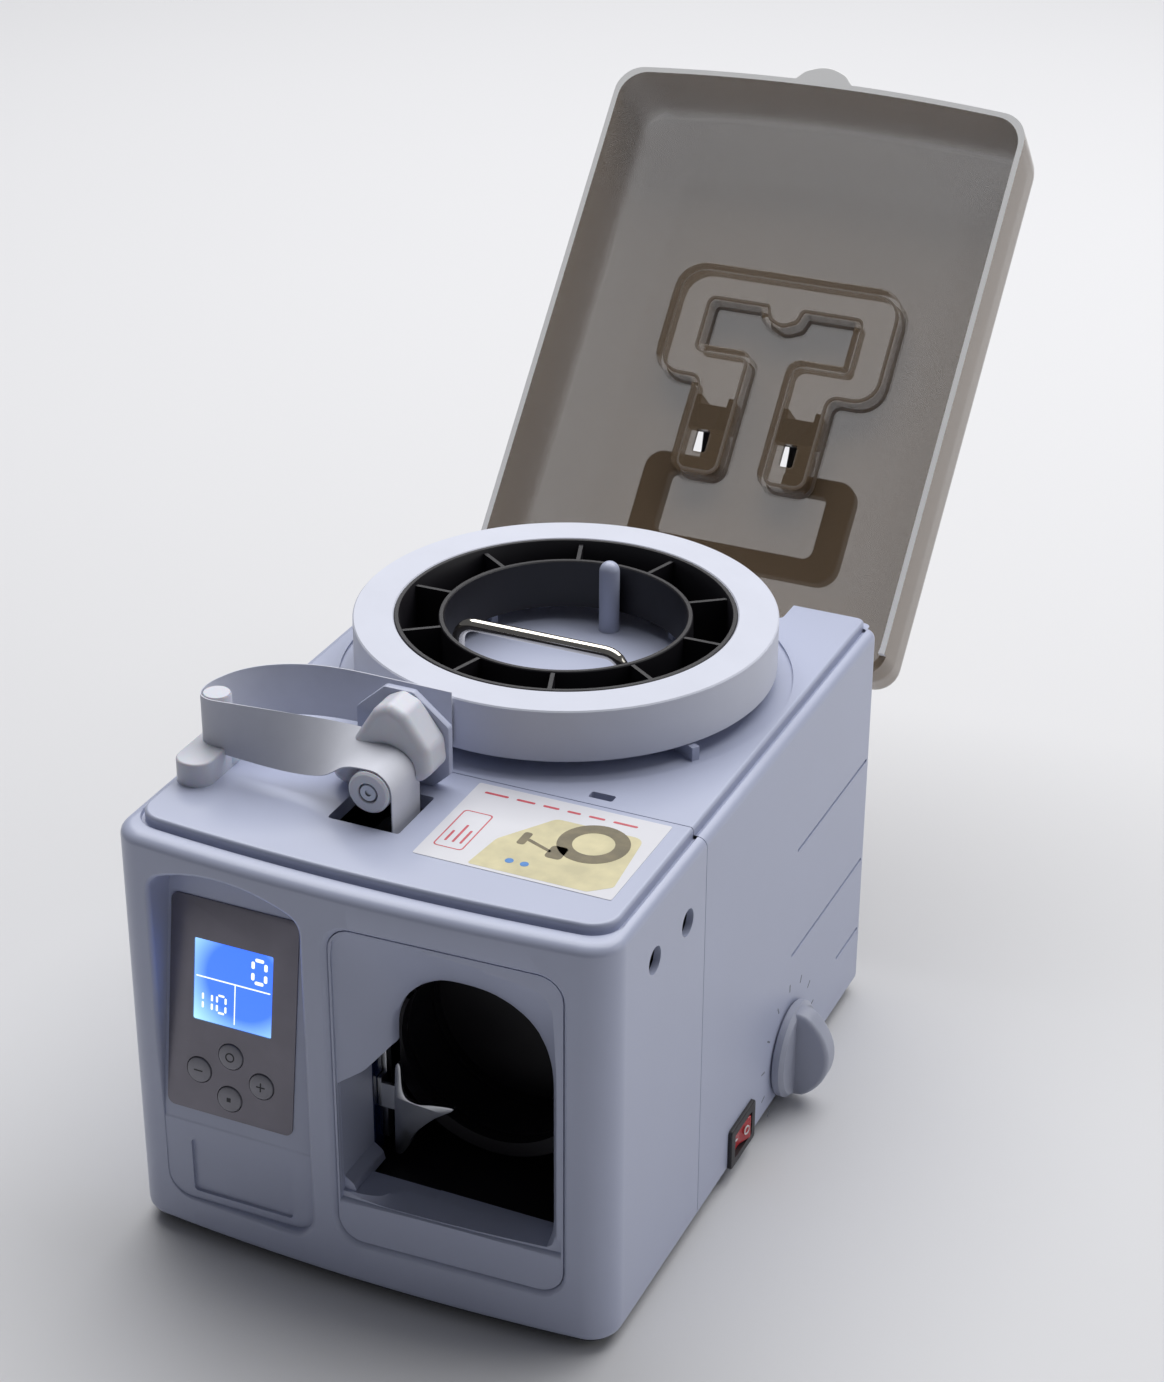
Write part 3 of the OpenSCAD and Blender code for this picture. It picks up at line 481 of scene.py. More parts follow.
def roll_side():
    """The wound paper's flat side: hundreds of turns, drawn 0.8 mm apart so that they show."""
    material = finish("banding_paper_wound", "#D2D5E2", 0.62, ior=1.46, drift=(20, 0.02), grain=(0.35, 0.01))
    tree = material.node_tree
    place = add_node(tree, "ShaderNodeTexCoord").outputs["Object"]
    centred = add_node(tree, "ShaderNodeMapping", {"Location": (-ROLL[0] * MM, -ROLL[1] * MM, 0)},
                       {"Vector": place})
    turns = add_node(tree, "ShaderNodeTexWave",
                     {"wave_type": "RINGS", "rings_direction": "Z", "Scale": 1000 / (0.8 * 20),
                      "Distortion": 0.3},
                     {"Vector": centred.outputs["Vector"]})
    bump = add_node(tree, "ShaderNodeBump", {"Strength": 0.35, "Distance": 0.03 * MM},
                    {"Height": turns.outputs["Fac"]})
    tree.links.new(bump.outputs["Normal"], tree.nodes["Principled BSDF"].inputs["Normal"])
    return material


smoke = smoked_acrylic()
# The same sheet where it is cut or tightly bent: near black, with a soft gloss
smoke_edge = finish("smoked_acrylic_on_edge", "#1C1814", 0.4, ior=1.49, drift=(30, 0.08), grain=(0.8, 0.004),
                    **{"Specular IOR Level": 0.12})
wound_paper = roll_side()
lcd_blue = lit("display_backlight_blue", "#3E74FA", "#B8F2FF", 1.1, on_panel(4, LCD_V + 3, 0), 26)
lcd_white = lit("display_segment_white", "#F4FAFF", "#F4FAFF", 1.1, on_panel(0, LCD_V, 0), 60)


# ---- case ----


def case_plan(hw, bow_r, front, back, front_r, back_r):
    """Plan of a case with a bulged front, always with the same count of points."""
    reach = hw - front_r
    cy = front + bow_r - math.sqrt((bow_r - front_r) ** 2 - reach**2)
    lean = math.degrees(math.asin(reach / (bow_r - front_r)))
    return (
        arc(0, front + bow_r, bow_r, -90 - lean, -90 + lean, 26)[1:-1]
        + arc(reach, cy, front_r, -90 + lean, 0, 9)
        + arc(hw - back_r, back - back_r, back_r, 0, 90, 7)
        + arc(back_r - hw, back - back_r, back_r, 90, 180, 7)
        + arc(-reach, cy, front_r, 180, 270 - lean, 9)
    )


def body_ring(z, inset):
    """The body's plan at a height, drawn in by inset; in front, while inset is under 5, drawn in about a third
    further.
    """
    outer = case_plan(HALF_W, BOW_R, FRONT_Y - BOW, BACK_Y, 12, 5)
    inner = case_plan(HALF_W - 1, BOW_R - 1, FRONT_Y - BOW + 1, BACK_Y - 1, 11, 4)
    ring = []
    for (x, y), (xi, yi) in zip(outer, inner):
        depth = inset * (1 + 0.35 * max(0.0, yi - y)) if inset < 5 else inset
        ring.append((x + (xi - x) * depth, y + (yi - y) * depth, z))
    return ring


def deck_ring(z, inset):
    return [(x, y, z) for x, y in case_plan(87.8 - inset, BOW_R - inset, FRONT_Y + 4.5 + inset,
                                             BACK_Y - 0.4 - inset, 10 - inset, 3)]


def case_solid():
    """The closed case: rounded foot and rim, a groove, and the raised deck."""
    foot_r, rim_r, deck_r = 4.6, 3.6, 1.3
    quarter = [math.pi / 2 * k / 6 for k in range(7)]
    rings = [body_ring(FOOT_H + foot_r * (1 - math.cos(a)), foot_r * (1 - math.sin(a))) for a in quarter]
    rings += [body_ring(RIM_Z - rim_r * (1 - math.sin(a)), rim_r * (1 - math.cos(a))) for a in quarter]
    rings += [deck_ring(RIM_Z, -GROOVE_W - 0.3), deck_ring(RIM_Z - 0.3, -GROOVE_W),
              deck_ring(RIM_Z - GROOVE_D, -GROOVE_W + 0.2), deck_ring(RIM_Z - GROOVE_D, 0)]
    rings += [deck_ring(DECK_Z - deck_r * (1 - math.sin(a)), deck_r * (1 - math.cos(a))) for a in quarter]
    return loft(rings)


def case_hollow():
    bm = loft([body_ring(FOOT_H - 1, WALL), body_ring(RIM_Z - WALL, WALL)])
    return bm


def front_y_at(x):
    """Where the bulged front face is, at a distance from its middle."""
    return FRONT_Y - BOW + BOW_R - math.sqrt(BOW_R**2 - x**2)


def panel_face_y(z):
    return PANEL_Y + max(0.0, z - LEAN_Z) * math.tan(LEAN)


def lipped_recess(outline, lip, floor_y=None):
    """A tool for an opening in the bulged front, with a rounded lip that follows the bulge.
    floor_y gives the recess's depth at a height, where it is too shallow for the whole lip."""
    rings = []
    for k in (-1, 0, 1, 2, 3, 4, 5):
        a = math.radians(15 + 75 * max(k, 0) / 5)
        ring = []
        for (x, z), (xg, zg) in zip(outline, grow(outline, 1)):
            surface = front_y_at(x)
            r = lip if floor_y is None else max(0.05, min(lip, 0.55 * (floor_y(z) - surface)))
            out, deep = r * (1 - math.sin(a)), r * (1 - math.cos(a))
            if k < 0:
                out, deep = out + (1 + deep) / math.tan(math.radians(15)), -1.0
            ring.append((x + (xg - x) * out, z + (zg - z) * out, surface + deep))
        rings.append(ring)
    rings.append([(x, z, -100) for x, z in outline])
    return loft(rings, facing_front)


def before_panel():
    """Everything in front of the keypad recess's floor: a low step, then the leaning face."""
    section = [(-140, 0), (PANEL_Y - 0.5, 0), (PANEL_Y - 0.5, 50.2), (PANEL_Y - 0.35, 50.8), (PANEL_Y, 51.6),
               (PANEL_Y, LEAN_Z), (panel_face_y(170), 170), (-140, 170)]
    return slab(section, ARCH_X - 45, ARCH_X + 45, place=lambda u, v, w: (w, u, v))


def arch_outline(g=0.0):
    """The keypad recess from the front: straight sides under a flat arch."""
    hw, top_r, corner = ARCH_HW + g, 65 + g, 7.0
    cx, cz = hw - corner, 90 + math.sqrt((top_r - corner) ** 2 - (hw - corner) ** 2)
    start = math.degrees(math.atan2(cz - 90, cx))
    sides = (50.2, 60, 80, 100, 120)
    return (
        arc(ARCH_X - hw + 9, 27 - g, 9, 180, 270, 6)
        + arc(ARCH_X + hw - 9, 27 - g, 9, 270, 360, 6)
        + [(ARCH_X + hw, z) for z in sides]
        + arc(ARCH_X + cx, cz, corner, 0, start, 5)
        + arc(ARCH_X, 90, top_r, start, 180 - start, 14)[1:-1]
        + arc(ARCH_X - cx, cz, corner, 180 - start, 180, 5)
        + [(ARCH_X - hw, z) for z in reversed(sides)]
    )


def panel_pocket():
    """Sheet of plastic behind the keypad recess, which follows its floor and walls."""
    outline = arch_outline(1.6)
    front = [(x, z, front_y_at(x) + 2.0) for x, z in outline]
    back = [(x, z, panel_face_y(z) + 2.0) for x, z in outline]
    deep = [(x, z, max(f[2] + 0.5, b[2])) for (x, z), f, b in zip(outline, front, back)]
    return loft([front, deep], facing_front)


def make_front_cover():
    cover = as_object("front_cover_shell", case_solid(), front_abs)
    carve(cover, case_hollow())
    carve(cover, panel_pocket(), "UNION")
    recess = as_object("recess", lipped_recess(arch_outline(), 2.2, panel_face_y))
    carve(recess, before_panel(), "INTERSECT")
    carve(cover, take_mesh(recess))
    carve(cover, lipped_recess(box_outline(BAY_X[0], BAY_Z[0], BAY_X[1], BAY_Z[1], 9), 2.6))
    # Name plate recess, left blank
    carve(cover, slab(box_outline(-68, 21.2, -28, 43.6, 1.5, 3), -130, PANEL_Y + 0.8, (0, 0.25),
                      facing_front))
    # Tape slot, screw access holes, display and key cut-outs
    carve(cover, slab(box_outline(-27, -91, 0, -64, 1.2, 3), RIM_Z - 6, DECK_Z + 4))
    for y, z in ((-61.8, 139.5), (-89.9, 141.2)):
        carve(cover, slab(disc_outline(y, z, 5), 80, 100, place=facing_side))
    carve(cover, slab(display_outline(0), -9, 9, place=on_panel))
    for u, v in key_places:
        carve(cover, slab(disc_outline(u, v, KEY_R + 0.3), -9, 9, place=on_panel))
    keep = slab(box_outline(-120, -150, 120, SEAM_Y, 1, 1), -5, 200)
    carve(cover, keep, "INTERSECT")
    place_piece(cover, "machine", ["front_cover"], weighted=True)


key_places = [(0, KEYS_V + 8.2), (-12.4, KEYS_V), (12.4, KEYS_V), (0, KEYS_V - 8.2)]


def display_outline(g):
    half = LCD_HALF + g
    return box_outline(-half, LCD_V - half, half, LCD_V + half, 0.6, 2)


def make_rear_housing():
    notch = [58.6, 114.0, 134.0]
    hollow = as_object("hollow", case_hollow())
    carve(hollow, slab(box_outline(-notch[0] - WALL, notch[1] - WALL, notch[0] + WALL, 150, 1, 1),
                       notch[2] - WALL, 220))
    housing = as_object("rear_housing_shell", case_solid(), case_abs)
    carve(housing, take_mesh(hollow))
    carve(housing, slab(box_outline(-notch[0], notch[1], notch[0], 150, 2, 3), notch[2], 220))
    # Round well under the roll, a latch slot and the handle holes
    carve(housing, slab(disc_outline(*ROLL, 84, 120), DECK_Z - 1, DECK_Z + 4))
    carve(housing, slab(box_outline(47, -41.5, 56, -37.5, 0.8, 3), RIM_Z - 4, DECK_Z + 4))
    for x, y in ((33, 20.6), (-33, 20.6)):
        carve(housing, slab(disc_outline(x, y, 2.6, 24), RIM_Z - 5, DECK_Z + 4))
    # Trim grooves along both sides
    for side in (-1, 1):
        for z, y in ((108.5, 46), (63.5, 44), (31, 97)):
            across = sorted((side * (HALF_W - 0.7), side * (HALF_W + 2)))
            carve(housing, slab(box_outline(y, z - 0.7, BACK_Y - 6, z + 0.7, 0.3, 2), *across,
                                place=facing_side))
    carve(housing, slab(disc_outline(*KNOB, 4, 24), 80, 100, place=facing_side))
    carve(housing, slab(box_outline(ROCKER[0] - 9.7, ROCKER[1] - 6.4, ROCKER[0] + 9.7, ROCKER[1] + 6.4, 0.5,
                                    2),
                        80, 100, place=facing_side))
    # Back: inlet, fuse, fan slots; left side: air slots
    carve(housing, slab(box_outline(46, 16, 74, 36, 2, 3), BACK_Y - 6, BACK_Y + 5, place=facing_front))
    carve(housing, slab(disc_outline(32, 26, 6, 32), BACK_Y - 6, BACK_Y + 5, place=facing_front))
    for i in range(7):
        z = 50 + 7 * i
        carve(housing, slab(box_outline(-66, z, -24, z + 3, 1.4, 3), BACK_Y - 6, BACK_Y + 6,
                            place=facing_front))
    for i in range(6):
        y = 66 + 7 * i
        carve(housing, slab(box_outline(y, 84, y + 3, 102, 1.4, 3), -HALF_W - 6, -HALF_W + 6,
                            place=facing_side))
    keep = slab(box_outline(-120, SEAM_Y + 0.4, 120, 150, 1, 1), -5, 200)
    carve(housing, keep, "INTERSECT")
    place_piece(housing, "machine", ["rear_housing"], weighted=True)


# ---- note bay ----


def throat_outline():
    """Mouth of the banding space: an arch, wider in its right shoulder than in its left."""
    return soft_outline([(9.4, SILL_Z + 0.2, 0), (68.4, SILL_Z + 0.2, 0), (68.4, 131, 29), (9.4, 131, 25)],
                        10)


def around(outline, centre, count=120):
    """An outline's points where rays at even angles from a centre meet it."""
    found = []
    for k in range(count):
        a = 2 * math.pi * k / count
        d = Vector((math.cos(a), math.sin(a)))
        best = 0.0
        for p, q in zip(outline, outline[1:] + outline[:1]):
            e = Vector((q[0] - p[0], q[1] - p[1]))
            s = Vector((p[0] - centre[0], p[1] - centre[1]))
            cross = d.x * e.y - d.y * e.x
            if abs(cross) < 1e-9:
                continue
            t = (s.x * e.y - s.y * e.x) / cross
            u = (s.x * d.y - s.y * d.x) / cross
            if t > 0 and -1e-6 <= u <= 1 + 1e-6:
                best = max(best, t)
        found.append((centre[0] + d.x * best, centre[1] + d.y * best))
    return found


def make_bay_scoop():
    """Grey scoop between the front's opening and the throat, with its sill and apron."""
    opening = box_outline(BAY_X[0] + 0.1, BAY_Z[0] + 0.1, BAY_X[1] - 0.1, BAY_Z[1] - 0.1, 9)
    across = [BAY_X[0] + 0.9 + (BAY_X[1] - BAY_X[0] - 1.8) * k / 12 for k in range(13)]
    front = [(x, z, front_y_at(x) + 1.3) for x, z in opening]
    back = [(x, z, THROAT_Y + 2) for x, z in opening]
    scoop = as_object("bay_scoop", loft([front, back], facing_front), front_abs)
    centre = (40, 80)
    inner = around(throat_outline(), centre)
    outer = around(soft_outline([(across[0], SILL_Z - 2.1, 0), (across[-1], SILL_Z - 2.1, 0),
                                 (across[-1], BAY_Z[1] - 0.9, 8), (across[0], BAY_Z[1] - 0.9, 8)], 6), centre)
    rings = [[(x, z, THROAT_Y + 4) for x, z in inner]]
    for k in range(11):
        t = k / 10
        share = t**1.25
        rings.append([
            (xi + (xo - xi) * share, zi + (zo - zi) * share, THROAT_Y - 0.2 - 12.4 * t**0.85)
            for (xi, zi), (xo, zo) in zip(inner, outer)
        ])
    rings.append([(x, z, -135) for x, z in outer])
    carve(scoop, loft(rings, facing_front))
    # Rounded front edge of the sill, which follows the bulge
    rings = []
    for x in across:
        face = front_y_at(x) + 1.3
        edge = [(y, z) for y, z in arc(face + 2, SILL_Z - 4.1, 2, 180, 100, 5)]
        rings.append([(y, z, x) for y, z in [(face - 9, SILL_Z + 4), (face - 9, SILL_Z - 4.1)] + edge
                      + [(face + 2.4, SILL_Z + 4)]])
    carve(scoop, loft(rings, lambda u, v, w: (w, u, v)))
    # Open pocket on the left under the scoop, with its own wall and a rounded kerb
    pocket = soft_outline([(-7, SILL_Z, 0), (24, SILL_Z, 0), (24, 104, 0), (9.6, 101, 7), (1, 91, 9),
                           (-7, 86.5, 1)], 6)
    carve(scoop, slab(pocket, -140, -100, place=facing_front))
    carve(scoop, slab(box_outline(-7.9, SILL_Z - 0.6, -6.9, 89, 0.2, 1), -125, -102.6, place=facing_front),
          "UNION")
    kerb = soft_outline([(-7.4, SILL_Z - 0.6, 0), (-2.4, SILL_Z - 0.6, 0), (-3.2, SILL_Z + 2.6, 2.2),
                         (-7, SILL_Z + 5.4, 1), (-7.4, SILL_Z + 5.4, 0)], 4)
    carve(scoop, slab(kerb, -124.4, -102.8, (0, 0.3), facing_front, steps=2), "UNION")
    place_piece(scoop, "machine", ["bay_funnel"], weighted=True)


def make_note_finger():
    """Horned steel plate at the bay's left edge, its corners smoothed, on its folded flange."""
    outline = smooth_path([(-0.2, 41.6, 0), (2, 41.5, 0), (4.6, 45, 0), (8.6, 53, 0), (15.6, 60.6, 0),
                           (22.2, 65.6, 0),
                           (22.3, 67.2, 0), (15, 66.2, 0), (9.4, 65, 0), (5, 66, 0), (3.2, 70, 0),
                           (2.7, 79, 0),
                           (1, 79, 0), (0.3, 70, 0), (0, 60, 0)], 6)
    bm = slab([(p.x, p.y) for p in outline], -100, -98.4, (0.3, 0.3), facing_front, steps=2)
    slab(box_outline(-6.2, 60, 1.4, 70, 0.6, 2), -99.9, -98.5, place=facing_front, bm=bm)
    slab(box_outline(-100, 60, -93, 72, 0.6, 2), -6.2, -4.8, place=facing_side, bm=bm)
    slab(box_outline(-95.8, 44, -92, 94, 0.6, 2), -7.4, -4.8, (0.2, 0.2), facing_side, bm, 2)
    place_piece(as_object("note_finger", bm, brushed), "finger", ["clamp_plate"])


# ---- deck ----


def make_tape_roll():
    e = 0.5
    profile = [(CORE_R, ROLL_Z + e), (CORE_R + e, ROLL_Z), (ROLL_R - e, ROLL_Z), (ROLL_R, ROLL_Z + e),
               (ROLL_R, ROLL_Z + TAPE_W - e), (ROLL_R - e, ROLL_Z + TAPE_W), (CORE_R + e, ROLL_Z + TAPE_W),
               (CORE_R, ROLL_Z + TAPE_W - e)]
    roll = as_object("paper_roll", spin(profile, ROLL, steps=160, ring=True), wound_paper)
    place_piece(roll, "roll", ["tape_roll"])


def ring_tree(material):
    """Bars set around a ring: inputs Count, Radius, Sweep and Size, ending realized."""
    tree = bpy.data.node_groups.new("bars_round_a_ring", "GeometryNodeTree")
    made = tree.interface.new_socket
    made("Geometry", in_out="OUTPUT", socket_type="NodeSocketGeometry")
    sockets = {
        "Count": made("Count", in_out="INPUT", socket_type="NodeSocketInt"),
        "Radius": made("Radius", in_out="INPUT", socket_type="NodeSocketFloat"),
        "Sweep": made("Sweep", in_out="INPUT", socket_type="NodeSocketFloat"),
        "Size": made("Size", in_out="INPUT", socket_type="NodeSocketVector"),
    }
    given = add_node(tree, "NodeGroupInput")
    bend = add_node(tree, "GeometryNodeCurveArc", {"mode": "RADIUS"},
                    {"Resolution": given.outputs["Count"], "Radius": given.outputs["Radius"],
                     "Sweep Angle": given.outputs["Sweep"]})
    where = add_node(tree, "GeometryNodeInputPosition")
    turn = add_node(tree, "FunctionNodeAlignRotationToVector", {"axis": "X"},
                    {"Vector": where.outputs["Position"]})
    bar = add_node(tree, "GeometryNodeMeshCube", links={"Size": given.outputs["Size"]})
    bars = add_node(tree, "GeometryNodeInstanceOnPoints", links={
        "Points": bend.outputs["Curve"], "Instance": bar.outputs["Mesh"],
                                                                 "Rotation": turn.outputs["Rotation"]})
    solid = add_node(tree, "GeometryNodeRealizeInstances", links={"Geometry": bars.outputs["Instances"]})
    painted = add_node(tree, "GeometryNodeSetMaterial", {"Material": material},
                       {"Geometry": solid.outputs["Geometry"]})
    add_node(tree, "NodeGroupOutput", links={"Geometry": painted.outputs["Geometry"]})
    return tree, {name: socket.identifier for name, socket in sockets.items()}


def bars_round(name, material, count, radius, sweep, size, matrix):
    """A ring of bars as plain mesh, moved to its place by a matrix in metres."""
    tree, keys = ring_tree(material)
    obj = bpy.data.objects.new(name, bpy.data.meshes.new(name))
    bpy.context.scene.collection.objects.link(obj)
    step = obj.modifiers.new("bars", "NODES")
    step.node_group = tree
    step[keys["Count"]] = count
    step[keys["Radius"]] = radius * MM
    step[keys["Sweep"]] = math.radians(sweep)
    step[keys["Size"]] = [s * MM for s in size]
    settle(obj)
    obj.data.transform(matrix)
    return obj


def make_tape_core():
    top = ROLL_Z + TAPE_W
    profile = [(BORE_R, ROLL_Z), (CORE_R - 0.05, ROLL_Z), (CORE_R - 0.05, top - 0.3), (CORE_R - 0.4, top),
               (CORE_R - 1.7, top), (CORE_R - 2, top - 0.4), (CORE_R - 2.6, ROLL_Z + 2.6),
               (CORE_R - 3.4, ROLL_Z + 2),
               (BORE_R + 3.2, ROLL_Z + 2), (BORE_R + 2.5, ROLL_Z + 2.6), (BORE_R + 2, top - 1.4),
               (BORE_R + 1.7, top - 1), (BORE_R + 0.4, top - 1), (BORE_R, top - 1.4)]
    core = as_object("roll_core", spin(profile, ROLL, steps=128, ring=True), black_abs)
    place_piece(core, "roll", ["tape_core"])
    ribs = bars_round("roll_core_ribs", black_abs, 10, (CORE_R + BORE_R) / 2, 324,
                      (CORE_R - BORE_R - 2, 1.5, 17.5),
                      Matrix.Translation((ROLL[0] * MM, ROLL[1] * MM, (ROLL_Z + 9.8) * MM))
                      @ Matrix.Rotation(math.radians(1), 4, "Z"))
    place_piece(ribs, "roll")


def make_carry_handle():
    x, y, bend, top = 33.0, 20.6, 7.0, RIM_Z + 24.9
    path = [(-x, y, RIM_Z - 7), (-x, y, top - bend)]
    path += [(-x + bend + bend * math.cos(a), y, top - bend + bend * math.sin(a))
             for a in (math.radians(180 - 15 * k) for k in range(1, 7))]
    path += [(-p[0], p[1], p[2]) for p in reversed(path)]
    place_piece(as_object("carry_wire", tube(path, 2.4, sides=24), chrome_wire), "machine",
                ["carry_handle"])


def make_roll_post():
    r, top = 3.9, DECK_Z + 23.5
    profile = [(0, RIM_Z), (r + 0.3, RIM_Z), (r, DECK_Z + 2), (r, top)]
    profile += [(r * math.cos(a), top + r * math.sin(a)) for a in (math.radians(15 * k) for k in range(1, 7))]
    post = spin(profile, (ROLL[0], 79.9), steps=32)
    place_piece(as_object("roll_pin", post, case_abs), "machine", ["roll_post"])


def make_loose_tape():
    """The band's run off the roll, round the post, a quarter turn, and down over the roller."""
    mid = DECK_Z + 7 + TAPE_W / 2
    run = [(-6, -38.4), (-28, -38.2), (-48, -38.4), (-62, -41), (-73, -46.5), (-80.5, -54), (-84.6, -63),
           (-85.6, -70), (-84, -75.4), (-79.6, -77.8)]
    stations = [((x, y, mid), 0) for x, y in run]
    stations += [((-72, -77.6, mid - 0.2), 4), ((-60, -76.2, mid - 1), 14), ((-48, -74.4, mid - 1.8), 28),
                 ((-37, -73.2, mid - 1.6), 45), ((-28, -74, mid + 0.4), 65), ((-20, -76.4, mid + 2.4), 84)]
    over = ROLLER_R + 0.5
    stations += [((ROLLER[0] + over * math.sin(math.radians(a)), -78,
                   ROLLER[1] + over * math.cos(math.radians(a))), 90)
                 for a in (0, 22, 45, 67, 90)]
    stations += [((ROLLER[0] + over, -78, z), 90) for z in (172, 160, 148, 136)]
    centres = smooth_path([p for p, _ in stations], 5)
    turns = [t.x for t in smooth_path([(turn, 0, 0) for _, turn in stations], 5)]
    rings = []
    for i, (p, turn) in enumerate(zip(centres, turns)):
        ahead = (centres[min(i + 1, len(centres) - 1)] - centres[max(i - 1, 0)]).normalized()
        a = math.radians(turn)
        across = Vector((0, math.sin(a), math.cos(a)))
        across = (across - ahead * across.dot(ahead)).normalized()
        face = across.cross(ahead)
        spread = [k / 4 - 1 for k in range(9)]
        rings.append([p + across * s * TAPE_W / 2 - face * 0.2 for s in spread]
                     + [p + across * s * TAPE_W / 2 + face * 0.2 for s in reversed(spread)])
    bm = loft(rings)
    place_piece(as_object("loose_tape", bm, band_paper), "machine", ["paper_tape"], sharp=60)


def make_guide_post():
    foot = [(x, y) for x, y in soft_outline([(-87.4, -93, 6.5), (-73.6, -93, 6.5), (-73.6, -66, 2),
                                             (-87.4, -66, 2)], 8)]
    bm = slab(foot, DECK_Z, DECK_Z + 9, (0, 0.8))
    spin([(0, DECK_Z + 1), (6.4, DECK_Z + 1), (6.4, DECK_Z + 6), (5.2, DECK_Z + 7), (5.2, DECK_Z + 26),
          (4.6, DECK_Z + 27), (0, DECK_Z + 27)], POST, bm=bm, steps=40)
    place_piece(as_object("tape_guide_post", bm, nylon), "machine", ["guide_post"])


def make_twist_arch():
    """Nylon saddle: one thick leg to the left, a shorter one to the right, around the roller."""
    outline = soft_outline([(-38, DECK_Z + 3.5, 3.5), (-29.5, DECK_Z - 0.2, 3.5), (-24, DECK_Z + 10, 6),
                            (-14, DECK_Z + 23, 4), (-7, DECK_Z + 9, 2), (-3, DECK_Z + 7.5, 3),
                            (1.6, DECK_Z + 12, 4),
                            (0.8, DECK_Z + 21, 6), (-8, DECK_Z + 33, 5), (-14, DECK_Z + 35.5, 3.5),
                            (-20, DECK_Z + 32.5, 5)], 6)
    arch = as_object("twist_saddle", slab(outline, -71, -57.6, (3.4, 0.6), facing_front, steps=5), nylon)
    carve(arch, slab(disc_outline(*ROLLER, ROLLER_R + 0.9), -75, -65.8, place=facing_front))
    place_piece(arch, "machine", ["twist_arch"], weighted=True)


def make_twist_bracket():
    outline = soft_outline([(-33, DECK_Z, 0), (-4, DECK_Z, 0), (2.4, DECK_Z + 6, 1), (2.4, DECK_Z + 24, 1.5),
                            (-11, DECK_Z + 35, 2), (-22, DECK_Z + 35, 2), (-33, DECK_Z + 25, 1.5)], 3)
    bm = slab(outline, -57.5, -54.5, (0.5, 0.5), facing_front, steps=2)
    place_piece(as_object("twist_plate", bm, case_abs), "machine", ["twist_bracket"])


def make_tape_roller():
    x, z = ROLLER
    bm = spin([(2.05, -89.1), (2.05, -66.7), (ROLLER_R - 0.5, -66.6), (ROLLER_R, -67.1), (ROLLER_R, -88.7),
               (ROLLER_R - 0.8, -89.5), (3.9, -89.5), (3.6, -89.2), (3.6, -87), (2.6, -87)],
              (x, z), facing_front, steps=64, ring=True)
    place_piece(as_object("guide_roller", bm, nylon), "guide_roller", ["tape_roller"])
    screw = spin([(0, -88.6), (1.2, -88.6), (1.2, -89.2), (2.9, -89.3), (3.2, -88.9), (3.2, -87.3),
                  (2, -87.2),
                  (2, -51), (0, -51)], (x, z), facing_front, steps=32)
    place_piece(as_object("roller_pan_screw", screw, zinc), "machine", ["roller_screw"])


def make_label():
    """Loading label: a plain diagram in a beige field, red frame and bars, no lettering."""
    z = DECK_Z
    sheet = as_object("loading_sheet", slab(box_outline(9.5, -99.5, 81.4, -48.4, 0.8, 3), z, z + 0.16),
                      label_paper)
    place_piece(sheet, "machine", ["loading_label"])
    top = z + 0.17
    red = slab(box_outline(13, -92, 24, -67, 1.5, 3), top, top + 0.03)
    red_piece = as_object("label_red_marks", red, print_red)
    carve(red_piece, slab(box_outline(13.5, -91.5, 23.5, -67.5, 1.2, 3), top - 1, top + 1))
    bars = bmesh.new()
    for x, length in ((14, 9), (26, 7), (36, 6), (45, 5), (53, 6), (62, 9)):
        slab(box_outline(x, -54.4, x + length, -53.2, 0.5, 2), top, top + 0.03, bm=bars)
    for x, length in ((15.4, 7), (18.2, 12), (21, 9)):
        slab(box_outline(x, -88, x + 0.9, -88 + length, 0.3, 2), top, top + 0.03, bm=bars)
    carve(red_piece, bars, "UNION")
    place_piece(red_piece, "machine")
    field = slab(soft_outline([(29, -98, 1), (72, -98, 3), (79, -92, 2), (76, -60, 4), (44, -60, 3),
                               (31, -80, 6)]),
                 top, top + 0.03)
    place_piece(as_object("label_field", field, print_beige), "machine")
    ring = spin([(7.2, top + 0.03), (12.4, top + 0.03), (12.4, top + 0.08), (7.2, top + 0.08)], (62, -70),
                ring=True,
                steps=48)
    slab(box_outline(38, -80, 41, -72, 1, 3), top + 0.03, top + 0.08, bm=ring)
    slab(box_outline(50, -84, 56, -76, 1.5, 3), top + 0.03, top + 0.08, bm=ring)
    slab(soft_outline([(41, -77, 0.3), (51, -81, 0.3), (51, -79.6, 0.3), (41, -75.4, 0.3)], 2), top + 0.03,
         top + 0.08, bm=ring)
    place_piece(as_object("label_diagram", ring, print_brown), "machine")
    dots = bmesh.new()
    for x in (41, 46.5):
        slab(disc_outline(x, -91, 1.5, 20), top + 0.03, top + 0.08, bm=dots)
    place_piece(as_object("label_dots", dots, print_blue), "machine")


# ---- dust lid ----


def lid_plan(f, inset):
    """Plan of the lid where its shoulder leans in by f: 0 at its rim, 1 at its roof."""
    return case_plan(90.6 - 26 * f - inset, 900, -122.5 + 31 * f + inset, 122.5 - 38 * f - inset, 12 - 4 * f,
                     10 - 2 * f)


LID_SECTION = [(0, 0), (0.015, 16), (0.035, 30), (0.055, 33.6), (0.08, 36), (0.15, 38.2), (0.25, 39.5),
               (0.42, 40.7), (0.6, 41.6), (0.8, 42.3), (0.93, 42.75), (1, LID_H)]


def lid_shape(inset, drop):
    rings = [[(x, y, LID_Z + h - drop) for x, y in lid_plan(f, inset)] for f, h in LID_SECTION]
    return loft(rings, on_lid)


